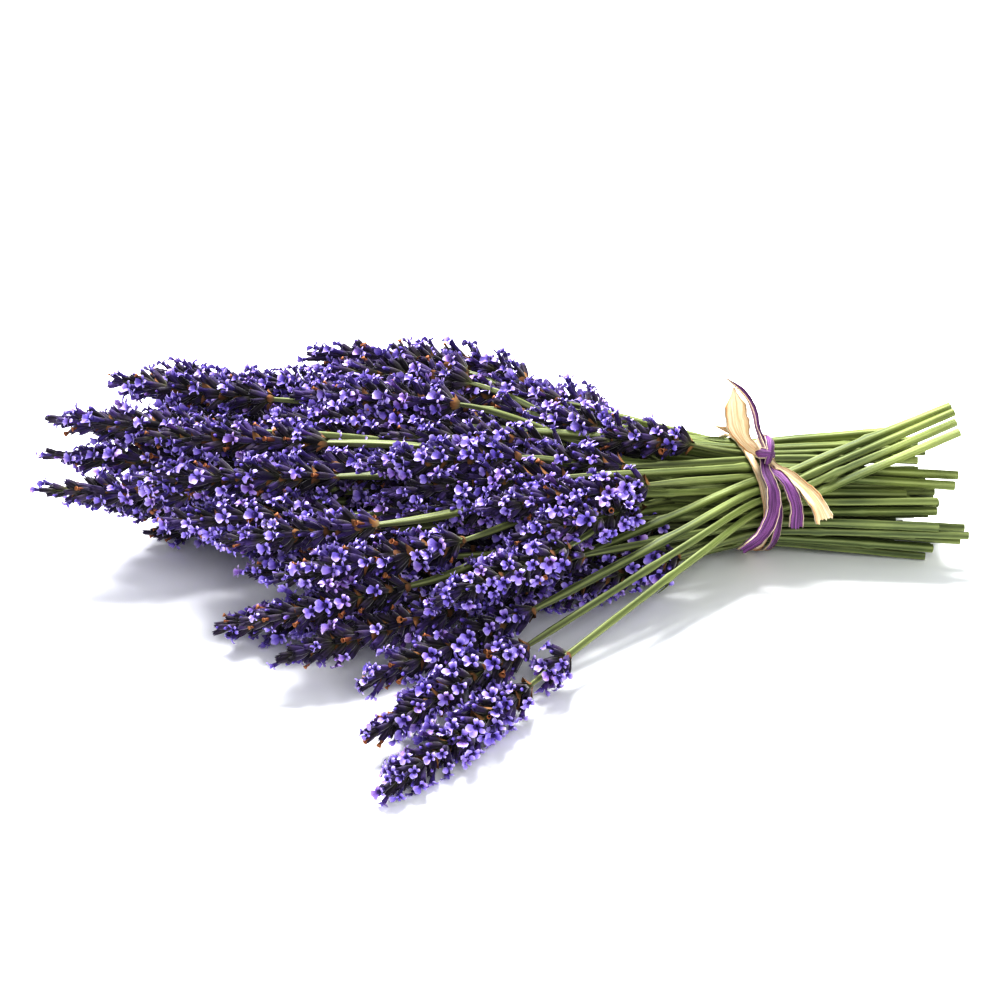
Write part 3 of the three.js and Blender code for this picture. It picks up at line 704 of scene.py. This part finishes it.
def calyx_material():
    """Downy tubes: greenish grey at the base, dusky violet to nearly black by the mouth, and painted
    shade, darker still, on the lip inside it.
    """
    n = Nodes("calyx", 0.72, sheen_weight=0.35, sheen_roughness=0.3)
    u, v = n.map_place("calyx", KINDS)
    # the last stop of dusk and of pale, at the far end of u, is painted shade on the lip inside the
    # mouth
    dusk = [(0.0, (70, 72, 40)), (0.22, (36, 34, 30)), (0.55, (18, 12, 22))]
    dusk += [(0.88, (14, 8, 22)), (1.0, (5, 2, 8))]
    pale = [(0.0, (138, 142, 90)), (0.3, (104, 98, 92)), (0.65, (84, 70, 98))]
    pale += [(0.9, (62, 42, 88)), (1.0, (12, 5, 18))]
    # v leans pale on the ribs and dark in the grooves: partly the ribs' down, partly painted
    # highlight and painted shade
    base = n.mix(n.ramp(v, [(0.25, 0.0), (0.95, 1.0)]), n.ramp(u, dusk), n.ramp(u, pale))
    violet = n.ramp(n.noise(n.place(), 140.0, 1.0), [(0.5, 0.0), (0.62, 0.7)])
    n.colour(n.mix(violet, base, n.mix(v, linear((38, 20, 66)), linear((92, 70, 138)))))
    down = n.noise(n.place(), 2600.0, 2.0)
    n.roughness(n.ramp(down, [(0.3, 0.7), (0.7, 0.95)]))
    n.bump(down, 0.35)
    return n.mat


def floret_material():
    """Violet florets: deep in the throat, clear violet lobes, paler along their edges."""
    n = Nodes("floret", 0.6, sheen_weight=0.25, sheen_roughness=0.5)
    u, v = n.map_place("floret", KINDS)
    violet = [(0.0, (40, 20, 88)), (0.3, (54, 30, 112)), (0.5, (98, 76, 176))]
    violet += [(0.8, (128, 108, 200)), (1.0, (166, 150, 218))]
    lilac = [(0.0, (60, 38, 112)), (0.3, (82, 56, 144)), (0.5, (148, 126, 206))]
    lilac += [(0.8, (182, 164, 226)), (1.0, (218, 208, 240))]
    mauve = [(0.0, (74, 34, 104)), (0.3, (98, 52, 130)), (0.6, (156, 116, 190))]
    mauve += [(1.0, (202, 176, 220))]
    base = n.mix(n.ramp(v, [(0.1, 0.0), (0.9, 1.0)]), n.ramp(u, violet), n.ramp(u, lilac))
    patches = n.ramp(n.noise(n.place(), 160.0, 1.0), [(0.55, 0.0), (0.7, 0.75)])
    n.colour(n.mix(patches, base, n.ramp(u, mauve)))
    veins = n.noise(n.place(), 1700.0, 3.0)
    n.roughness(n.ramp(veins, [(0.3, 0.5), (0.7, 0.75)]))
    n.bump(veins, 0.3)
    return n.mat


def bract_material():
    """Papery scales: straw to rust brown, with a fine grain."""
    n = Nodes("bract", 0.75)
    u, v = n.map_place("bract", KINDS)
    rust = n.ramp(u, [(0.0, (92, 78, 58)), (0.4, (122, 84, 56)), (1.0, (74, 48, 40))])
    straw = n.ramp(u, [(0.0, (128, 116, 82)), (0.5, (158, 116, 72)), (1.0, (112, 76, 52))])
    n.colour(n.mix(v, rust, straw))
    grain = n.noise(n.place(), 2000.0, 3.0)
    n.roughness(n.ramp(grain, [(0.3, 0.6), (0.7, 0.85)]))
    n.bump(grain, 0.4)
    return n.mat


def spent_material():
    """Withered florets: orange tan, with painted shade, dark, inside the empty tube."""
    n = Nodes("spent", 0.7)
    u, v = n.map_place("spent", KINDS)
    # the last stop of each ramp is painted shade: it colours the tube's inner ring as if in shadow
    tan = [(0.0, (96, 60, 40)), (0.5, (150, 98, 62)), (0.75, (206, 148, 100)), (1.0, (52, 22, 18))]
    rust = [(0.0, (70, 40, 34)), (0.5, (136, 70, 44)), (0.75, (176, 104, 66)), (1.0, (36, 14, 14))]
    n.colour(n.mix(v, n.ramp(u, tan), n.ramp(u, rust)))
    return n.mat


def raffia_material(name, face, streak, dark, edge, edge_share):
    """Raffia: u runs along the ribbon and v across it. It has fine fibres and coloured edges."""
    n = Nodes(name, 0.45, sheen_weight=0.2, sheen_roughness=0.4)
    u, v = n.map_place(name, [name])
    fibres = n.stripes(u, v, 9, 60, 5.0, 0.7)
    broad = n.stripes(u, v, 5, 9, 2.0)
    base = n.mix(n.ramp(fibres, [(0.4, 0.0), (0.62, 1.0)]), linear(face), linear(streak))
    base = n.mix(n.ramp(broad, [(0.45, 0.0), (0.6, 0.75)]), base, linear(dark))
    across = n.maths("ABSOLUTE", n.stretched(v, 2.0, -1.0))
    border = n.maths("ADD", across, n.stretched(broad, 0.5, -0.25))
    at_edge = n.ramp(border, [(edge_share, 0.0), (min(1.0, edge_share + 0.08), 1.0)])
    n.colour(n.mix(at_edge, base, linear(edge)))
    n.roughness(n.ramp(fibres, [(0.3, 0.32), (0.7, 0.62)]))
    n.bump(fibres, 0.6, 0.0003)
    return n.mat


MATERIALS = {
    "stem": stem_material(),
    "pith": pith_material(),
    "calyx": calyx_material(),
    "floret": floret_material(),
    "bract": bract_material(),
    "spent": spent_material(),
    "purple": raffia_material(
        "purple", (92, 40, 108), (166, 112, 168), (52, 18, 60), (240, 222, 190), 0.86
    ),
    "cream": raffia_material(
        "cream", (246, 236, 212), (222, 200, 160), (206, 176, 128), (214, 148, 84), 0.9
    ),
}


# ------------------------------------------------------------------ the stalks

routes = []
for number in range(1, CAD_STALKS + 1):
    name = f"stalk_{number:02d}"
    middles, radii = rings_of(name)
    route = Route(middles, radii)
    base_ring, whorl_ring = spike_start(radii)
    route.base = route.knots[base_ring]
    route.whorl = None if whorl_ring is None else route.knots[whorl_ring]
    route.name = name
    routes.append(route)

for number, route in enumerate(routes):
    shapes = Shapes(KINDS)
    grow_stalk(shapes, route, np.random.default_rng(100 + number), route.base, route.whorl)
    shapes.piece(route.name + "_grown", "stalk", route.name)


# ------------------------------------------------------------------ the inner stalks


STEM_WIDTH = 2 * routes[0].radii[0]
SPIKE_RADIUS = routes[0].radii.max()
PLACED_SPIKE = 42  # the length of spike that room is looked for
NEAREST_TIP = 62  # from the tie to the tip of the nearest inner spike
NEIGHBOURS = 30  # how far apart two neighbouring stalks are at the most
FRONT_STALKS = -92  # across the bunch, beyond which the lone stalks at the front lie
LOWEST_MIDDLE = 5.2  # how near the surface an inner stalk's middle line comes
HIGHEST_SPIKE = cad_box[1][2] / MM - 9  # the highest that a spike's middle line goes
NEAR_THE_TIE = 0.2  # how much lower it stays for each millimetre that it ends nearer to the tie
FAR_FROM_TIE = 120  # from here on it may go that high
HEIGHT_WORTH = 0.05  # how much room a millimetre of height is worth, since it is seen better


def honeycomb():
    """Where the inner stems pass through the tie, as (y, z), and how far their cut ends reach."""
    low, high = (np.array(corner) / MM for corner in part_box("inner_stems"))
    middle, half = (low + high) / 2, (high - low) / 2 - STEM_WIDTH / 2
    pitch = STEM_WIDTH * INNER_SPACING
    rise = pitch * math.sin(math.pi / 3)
    places = []
    rows = int(half[2] / rise + 0.01)
    for row in range(-rows, rows + 1):
        for column in range(-9, 10):
            y, z = (column + 0.5 * (row % 2)) * pitch, row * rise
            if (y / half[1]) ** 2 + (z / half[2]) ** 2 <= 1.02:
                places.append((middle[1] + y, middle[2] + z))
    return np.array(places), high[0]


def tie_distance(route):
    """How far along a CAD stalk the middle of the tie is, which is between two of its rings."""
    return (route.knots[3] + route.knots[4]) / 2


def beyond_tie(route, distances):
    """Places along a route by the distance from the tie, straight on past its tip."""
    s = tie_distance(route) + np.asarray(distances, float)
    over = np.maximum(s - route.length, 0)
    return route.co[route.index(s)] + route.way[-1] * over[:, None]


def emptiest_heads(count):
    """Spikes' places between pairs of neighbouring CAD stalks, each where it has the most room."""
    from_tip = PLACED_SPIKE * (1 - np.arange(5) / 4)
    spikes = [beyond_tie(r, (r.length - tie_distance(r)) - from_tip) for r in routes]
    taken = np.concatenate(spikes)
    choices, lines = [], []
    tame = [r for r in routes if r.co[:, 1].min() > FRONT_STALKS]
    for a in tame:
        for b in tame:
            if a is b:
                continue
            longest = min(a.length - tie_distance(a), b.length - tie_distance(b)) + 6
            apart = np.linalg.norm(beyond_tie(a, [90])[0] - beyond_tie(b, [90])[0])
            if apart > NEIGHBOURS:
                continue
            for share in (0.35, 0.5):
                for reach in np.linspace(NEAREST_TIP, max(NEAREST_TIP + 2, longest), 9):
                    d = reach - from_tip
                    line = beyond_tie(a, d) * (1 - share) + beyond_tie(b, d) * share
                    highest = HIGHEST_SPIKE - NEAR_THE_TIE * max(0.0, FAR_FROM_TIE - reach)
                    for lift in (0, 4, 8):
                        raised = line + UP * lift
                        if raised[:, 2].max() > highest and (lift or a.co[:, 1].max() > 0):
                            continue
                        choices.append((a, b, share, reach, lift))
                        lines.append(raised)
    lines = np.array(lines)
    worth = HEIGHT_WORTH * lines[:, :, 2].mean(1)
    room = np.full(len(lines), np.inf)
    for place in taken:
        room = np.minimum(room, np.linalg.norm(lines - place, axis=2).min(1))
    room += worth
    found = []
    for _ in range(count):
        best = int(np.argmax(room))
        found.append((choices[best], lines[best]))
        for place in lines[best]:
            near = np.linalg.norm(lines - place, axis=2).min(1)
            room = np.minimum(room, near + worth)
    return found


def inner_route(choice, slot, cut_end, rng):
    """From the cut end straight through the tie at its slot, and then over to the spike's place."""
    a, b, share, reach, lift = choice
    y, z = slot
    back = np.linspace(cut_end, 0, 4)
    straight = [(x, y + 0.2 * rng.normal(), z) for x in back]
    d = np.arange(8.0, reach, 11.0)
    d = np.append(d[d < reach - 5], reach)
    goal = beyond_tie(a, d) * (1 - share) + beyond_tie(b, d) * share + UP * lift
    own = np.stack([-d, np.full(len(d), y), np.full(len(d), z)], 1)
    blend = np.clip((d - 6) / (0.62 * reach), 0, 1)[:, None]
    blend = blend * blend * (3 - 2 * blend)
    there = own * (1 - blend) + goal * blend
    there[:, 2] = np.maximum(there[:, 2], LOWEST_MIDDLE)
    route = Route(np.concatenate([straight, there]))
    spike = min(rng.uniform(38, 52), reach * 0.62)
    base = route.length - spike
    places = np.linspace(0, 1, 7)
    route.knots = np.concatenate([[0, base], base + 0.5 + places * (spike - 0.5)])
    shape = np.interp(places, [0, 0.2, 0.5, 0.75, 1], [0.8, 1, 1, 0.82, 0.25])
    route.radii = np.concatenate([[STEM_WIDTH / 2] * 2, SPIKE_RADIUS * shape])
    route.base = base
    return route


def match(slots, lines):
    """Gives each spike the slot that lies the same way from the bundle's middle."""
    ends = np.array([line[2, 1:] for line in lines])
    ends = (ends - ends.mean(0)) / ends.std(0)
    places = (slots - slots.mean(0)) / slots.std(0)
    free = list(range(len(slots)))
    order = np.argsort(-np.linalg.norm(ends, axis=1))
    chosen = {}
    for k in order:
        best = min(free, key=lambda i: np.linalg.norm(places[i] - ends[k]))
        free.remove(best)
        chosen[int(k)] = best
    return chosen


slots, farthest_cut = honeycomb()
heads = emptiest_heads(len(slots))
partners = match(slots, [line for _, line in heads])
for number, (choice, _) in enumerate(heads):
    rng = np.random.default_rng(500 + number)
    cut_end = farthest_cut - rng.uniform(0, 10)
    route = inner_route(choice, slots[partners[number]], cut_end, rng)
    shapes = Shapes(KINDS)
    grow_stalk(shapes, route, rng, route.base)
    shapes.piece(f"inner_stalk_{number + 1:02d}", "inner_stems", "inner_stems")


# ------------------------------------------------------------------ raffia


# The bundle's outline inside the tie and the raffia's sizes, as the CAD has them.
OUTER_STALKS = 32
STALK_PITCH = STEM_WIDTH + 0.7
FLATNESS = 0.76
STRAND_WIDTH = 2.6
STRAND_THICKNESS = 0.7
BAND_SIDES = 28
SLANT = 0.28  # how far the tie runs towards the cut ends for each millimetre to the front
CLEARANCE = 0.35
RING_MEAN = OUTER_STALKS * STALK_PITCH / (2 * math.pi)
RING_ACROSS = RING_MEAN * math.sqrt(2 / (1 + FLATNESS**2))
TO_OUTSIDE = STEM_WIDTH / 2 + 0.15 + CLEARANCE + STRAND_THICKNESS
AXIS_HEIGHT = (RING_ACROSS * FLATNESS + TO_OUTSIDE) * math.cos(math.pi / BAND_SIDES)
TIE_X = -(STRAND_WIDTH + CLEARANCE) / 2
SPACING = (STRAND_WIDTH + CLEARANCE) / 2


def over(degrees, along, out):
    """A place on the tie: degrees round it (90 the top, 180 the front), along it, and outwards."""
    t = math.radians(degrees)
    across, up = RING_ACROSS + TO_OUTSIDE + out, RING_ACROSS * FLATNESS + TO_OUTSIDE + out
    y = across * math.cos(t)
    return np.array([TIE_X + along - SLANT * y, y, AXIS_HEIGHT + up * math.sin(t)])


def outward(degrees):
    """The way straight out of the bundle at an angle round it."""
    t = math.radians(degrees)
    across, up = RING_ACROSS + TO_OUTSIDE, RING_ACROSS * FLATNESS + TO_OUTSIDE
    return unit([0, math.cos(t) / across, math.sin(t) / up])


SHEET = 0.11  # half of what the ribbons' two faces are apart
MAP_LENGTH = 90  # of ribbon that takes the whole length of the colour map


def ribbon(shapes, kind, points, facing, widths, start, rng, curl, frayed=False):
    """A raffia ribbon along points, with rolled edges. facing is where its face looks at each point.

    start is its place along the colour map, curl how hollow it is in shares of its width, and
    frayed whether its far end is torn.
    """
    points, facing = np.asarray(points, float), np.asarray(facing, float)
    line = Route(points)
    s = np.append(np.arange(0, line.length, 0.55), line.length)
    i = line.index(s)
    share = np.interp(s, line.knots, np.linspace(0, 1, len(points)))
    steps = np.linspace(0, 1, len(points))
    look = np.stack([np.interp(share, steps, facing[:, c]) for c in range(3)], 1)
    way = line.way[i]
    look = unit(look - (look * way).sum(1, keepdims=True) * way)
    side = np.cross(way, look)
    width = np.interp(share, np.linspace(0, 1, len(widths)), widths)
    width = width * (1 + 0.05 * np.sin(s * 0.9 + rng.uniform(0, 6)) + 0.03 * np.sin(s * 2.3))
    columns = 15
    j = np.linspace(-1, 1, columns)
    flat = 0.82
    inner = np.clip(j, -flat, flat) / flat
    roll = np.clip((np.abs(j) - flat) / (1 - flat), 0, 1) * math.pi * 1.15
    rows = len(s)
    r = 0.05 * width[:, None] + 0.08
    phase = rng.uniform(0, 6, 3)
    crease = 0.07 * np.sin(j * 9 + phase[0])[None] + 0.05 * np.sin(j * 17 + phase[1])[None]
    crease = crease + 0.05 * np.sin(s[:, None] * 0.8 + j[None] * 4 + phase[2])
    y = inner[None] * (width[:, None] / 2 - r) + np.sign(j)[None] * r * np.sin(roll)[None]
    n = curl * width[:, None] * (inner**2)[None] + r * (1 - np.cos(roll))[None]
    n = n + crease * width[:, None] * 0.3
    along = np.zeros((rows, columns))
    if frayed:
        along[-1] = rng.uniform(-0.2, 1.0, columns)
    co = line.co[i][:, None] + side[:, None] * y[..., None] + look[:, None] * n[..., None]
    co = co + way[:, None] * along[..., None]
    at = np.stack([np.repeat(start + s / MAP_LENGTH, columns), np.tile((j + 1) / 2, rows)], 1)
    quads = grid(rows, columns)
    shapes.add((co + look[:, None] * SHEET).reshape(-1, 3), at, quads[:, ::-1], kind)
    shapes.add((co - look[:, None] * SHEET).reshape(-1, 3), at, quads, kind)


KNOT_DEGREES = 110
KNOT = over(KNOT_DEGREES, SPACING, 1.7)
KNOT_OUT = outward(KNOT_DEGREES)
KNOT_FRONT = unit(np.cross(KNOT_OUT, [1, 0, 0]))
LEAF_FACING = unit([0.25, -1, 0.3])
EDGE_FACING = unit([0.9, -0.6, 0.2])


def at_knot(x, front, out):
    """A place by the knot's middle: along the bundle, down its front, and outwards."""
    return KNOT + np.array([x, 0, 0]) + KNOT_FRONT * front + KNOT_OUT * out


def band(shapes, kind, along, rng):
    """The strand's turn round the stems, which starts and ends inside the knot."""
    degrees = np.arange(103, 103 + 361, 12)
    points = [over(d, along + 0.25 * math.sin(math.radians(3 * d)), -0.42) for d in degrees]
    widths = [STRAND_WIDTH * (0.86 + 0.08 * math.sin(k * 1.7)) for k in range(8)]
    ribbon(shapes, kind, points, [outward(d) for d in degrees], widths, 0.0, rng, 0.02)


def wrap(shapes, kind, steps, widths, start, rng):
    """A hollow turn of ribbon in the knot, which faces away from the knot's middle."""
    spots = [at_knot(*step) for step in steps]
    middle = at_knot(-0.6, 0.4, -1.2)
    ribbon(shapes, kind, spots, [spot - middle for spot in spots], widths, start, rng, -0.3)


def hanging(shapes, kind, knot, rows, widths, start, rng, curl):
    """A loose end that hangs over the front. rows are degrees, along and out, as over() has them."""
    points = [knot] + [over(*row) for row in rows]
    facing = [outward(rows[0][0] - 12)] + [outward(row[0]) for row in rows]
    ribbon(shapes, kind, points, facing, widths, start, rng, curl, True)


def standing(shapes, kind, top, foot, steps, widths, start, rng, facing, curl):
    """A loose end that stands up from the knot's top. steps are counted from its foot."""
    points = [top] + [foot + np.array(step) for step in steps]
    ribbon(shapes, kind, points, [facing] * len(points), widths, start, rng, curl, True)


def make_bands(purple, cream, rng):
    band(purple, "purple", SPACING, rng)
    band(cream, "cream", -SPACING, rng)


def make_knot(purple, cream, rng):
    """A purple loop over the top, a purple strand down its right, and a cream twist on its left."""
    loop = [(-2.7, 0.4, 0.4), (-2.6, -1.2, 2), (-1, -2.4, 3), (0.9, -2.6, 3), (2.3, -1.6, 1.8)]
    loop.append((2.5, 0.2, 0.4))
    strand = [(0.2, -4.4, 0.4), (0.9, -3.2, 2.4), (1.3, -0.8, 3.7), (1.4, 1.8, 3.7)]
    strand += [(1.1, 4.2, 2.7), (0.4, 5.2, 0.6)]
    under = [(-2, 3.4, 0.8), (-1.4, 4.6, 2), (0.2, 5.2, 2.4), (1.8, 4.6, 1.6), (2.2, 3.6, 0.4)]
    twist = [(-0.6, -2.2, 1.6), (-2, -0.8, 2.7), (-2.2, 1.2, 3.1), (-1.4, 3.2, 2.8), (-0.2, 4.4, 1.8)]
    tuck = [(-1.6, 0.2, 1.5), (-2.9, 1.8, 2), (-2.7, 3.4, 1.6), (-1.6, 4.6, 0.6)]
    wrap(purple, "purple", loop, [2.4, 3.2, 3.2, 2.6], 0.3, rng)
    wrap(purple, "purple", strand, [1.8, 2.6, 2.9, 2.9, 2.6], 0.42, rng)
    wrap(purple, "purple", under, [2.0, 2.8, 2.2], 0.5, rng)
    wrap(cream, "cream", twist, [2.0, 3.2, 3.2, 2.2], 0.3, rng)
    wrap(cream, "cream", tuck, [1.6, 2.4, 1.8], 0.38, rng)


def make_purple_ends(purple, rng):
    """Two ends that hang over the front, and a narrow one that stands up, edge on."""
    start = at_knot(0.2, 3.6, 0.4)
    front = [(127, -0.6, 2.2), (144, -0.7, 3.8), (162, -1.9, 4.2), (180, -5, 4.2), (196, -9.2, 3.6)]
    hanging(purple, "purple", start, front, [2.0, 3.2, 4.0, 3.9, 3.2], 0.55, rng, 0.14)
    start = at_knot(0.7, 3.4, 0.4)
    aside = [(126, 1.4, 2.3), (132, 2.3, 3.7), (141, 3.4, 4.8), (156, 4.4, 5), (172, 4.2, 4.5)]
    hanging(purple, "purple", start, aside, [1.8, 2.6, 3.4, 4.1], 0.66, rng, -0.14)
    top, foot = at_knot(0.2, -2.6, 1.6), over(103, SPACING, 2.2)
    edge = [(-1.8, 0.6, 4.9), (-2.8, 1.6, 9), (-4.3, 2.6, 12.6), (-6.9, 3.4, 15.7), (-9.8, 4, 18)]
    widths = [1.8, 2.2, 2.2, 1.6, 0.5]
    standing(purple, "purple", top, foot, edge, widths, 0.78, rng, EDGE_FACING, 0.3)


def make_cream_ends(cream, rng):
    """A torn end across the front, a broad leaf that stands up, and a small one to the side."""
    start = at_knot(0.4, 0.8, 1.4)
    across = [(121, 2.2, 1.8), (129, 5, 1.6), (142, 8.2, 2.2), (155, 10.4, 3.8), (166, 11.6, 4.4)]
    hanging(cream, "cream", start, across, [1.8, 2.2, 3.3, 4.4, 5.0], 0.5, rng, 0.14)
    top, foot = at_knot(-1.4, -1.6, 1.2), over(110, -1.5 * SPACING, 1.3)
    leaf = [(-2.2, 0.4, 4.6), (-4.4, 1.4, 9.4), (-5.2, 2.2, 14), (-5.4, 3, 18.2)]
    widths = [2.0, 4.4, 7.2, 6.4, 1.0]
    standing(cream, "cream", top, foot, leaf, widths, 0.64, rng, LEAF_FACING, 0.16)
    aside = [(-2.4, 1, 3.1), (-5, 2.4, 5.8), (-9.1, 3.6, 6.8)]
    standing(cream, "cream", top, foot, aside, [1.8, 2.8, 2.2, 0.5], 0.84, rng, LEAF_FACING, 0.2)


def make_raffia():
    rng = np.random.default_rng(7)
    purple, cream = Shapes(["purple"]), Shapes(["cream"])
    make_bands(purple, cream, rng)
    make_knot(purple, cream, rng)
    make_purple_ends(purple, rng)
    make_cream_ends(cream, rng)
    purple.piece("purple_ribbons", "purple_raffia", "purple_raffia")
    cream.piece("cream_ribbons", "cream_raffia", "cream_raffia")


make_raffia()


# ------------------------------------------------------------------ stage, light and camera


def area_light(name, place, size, power):
    """A round soft light that looks at the bunch. Its place and size are in metres."""
    data = bpy.data.lights.new(name, "AREA")
    data.shape = "DISK"
    data.size = size
    data.energy = power
    ob = bpy.data.objects.new(name, data)
    ob.location = place
    ob.rotation_euler = (BUNCH - Vector(place)).to_track_quat("-Z", "Y").to_euler()
    bpy.context.scene.collection.objects.link(ob)


def floor():
    """A plain pale floor, 8 metres square."""
    me = bpy.data.meshes.new("floor")
    h = 4.0
    me.from_pydata([(-h, -h, 0), (h, -h, 0), (h, h, 0), (-h, h, 0)], [], [(0, 1, 2, 3)])
    mat = bpy.data.materials.new("floor")
    mat.use_nodes = True
    shader = mat.node_tree.nodes["Principled BSDF"]
    shader.inputs["Base Color"].default_value = (0.93, 0.94, 0.95, 1)
    shader.inputs["Roughness"].default_value = 0.6
    me.materials.append(mat)
    ob = bpy.data.objects.new("floor", me)
    bpy.context.scene.collection.objects.link(ob)


def camera(elevation, distance, look_at, view_width):
    """The camera, by degrees above the floor, and metres."""
    data = bpy.data.cameras.new("camera")
    data.sensor_width = 36
    data.lens = data.sensor_width * distance / view_width
    ob = bpy.data.objects.new("camera", data)
    e = math.radians(elevation)
    back = Vector((0, -math.cos(e), math.sin(e)))
    ob.location = Vector(look_at) + back * distance
    ob.rotation_euler = (-back).to_track_quat("-Z", "Y").to_euler()
    bpy.context.scene.collection.objects.link(ob)
    bpy.context.scene.camera = ob


def surroundings(colour, strength):
    world = bpy.data.worlds.new("world")
    bpy.context.scene.world = world
    world.use_nodes = True
    background = world.node_tree.nodes["Background"]
    background.inputs["Color"].default_value = colour
    background.inputs["Strength"].default_value = strength


BUNCH = Vector((-0.05, 0, 0))  # where the lights look, in metres
floor()
surroundings((0.95, 0.97, 1.0, 1), 0.5)
area_light("key", (-0.25, 0.5, 0.9), 0.5, 24)
area_light("fill", (0.2, -1.0, 0.8), 0.7, 6.5)
camera(30, 0.5, (-0.069, -0.01, 0.018), 0.27)
bpy.context.scene.view_settings.view_transform = "Standard"
bpy.context.scene.view_settings.exposure = 0.5
bpy.context.scene.view_settings.gamma = 0.72
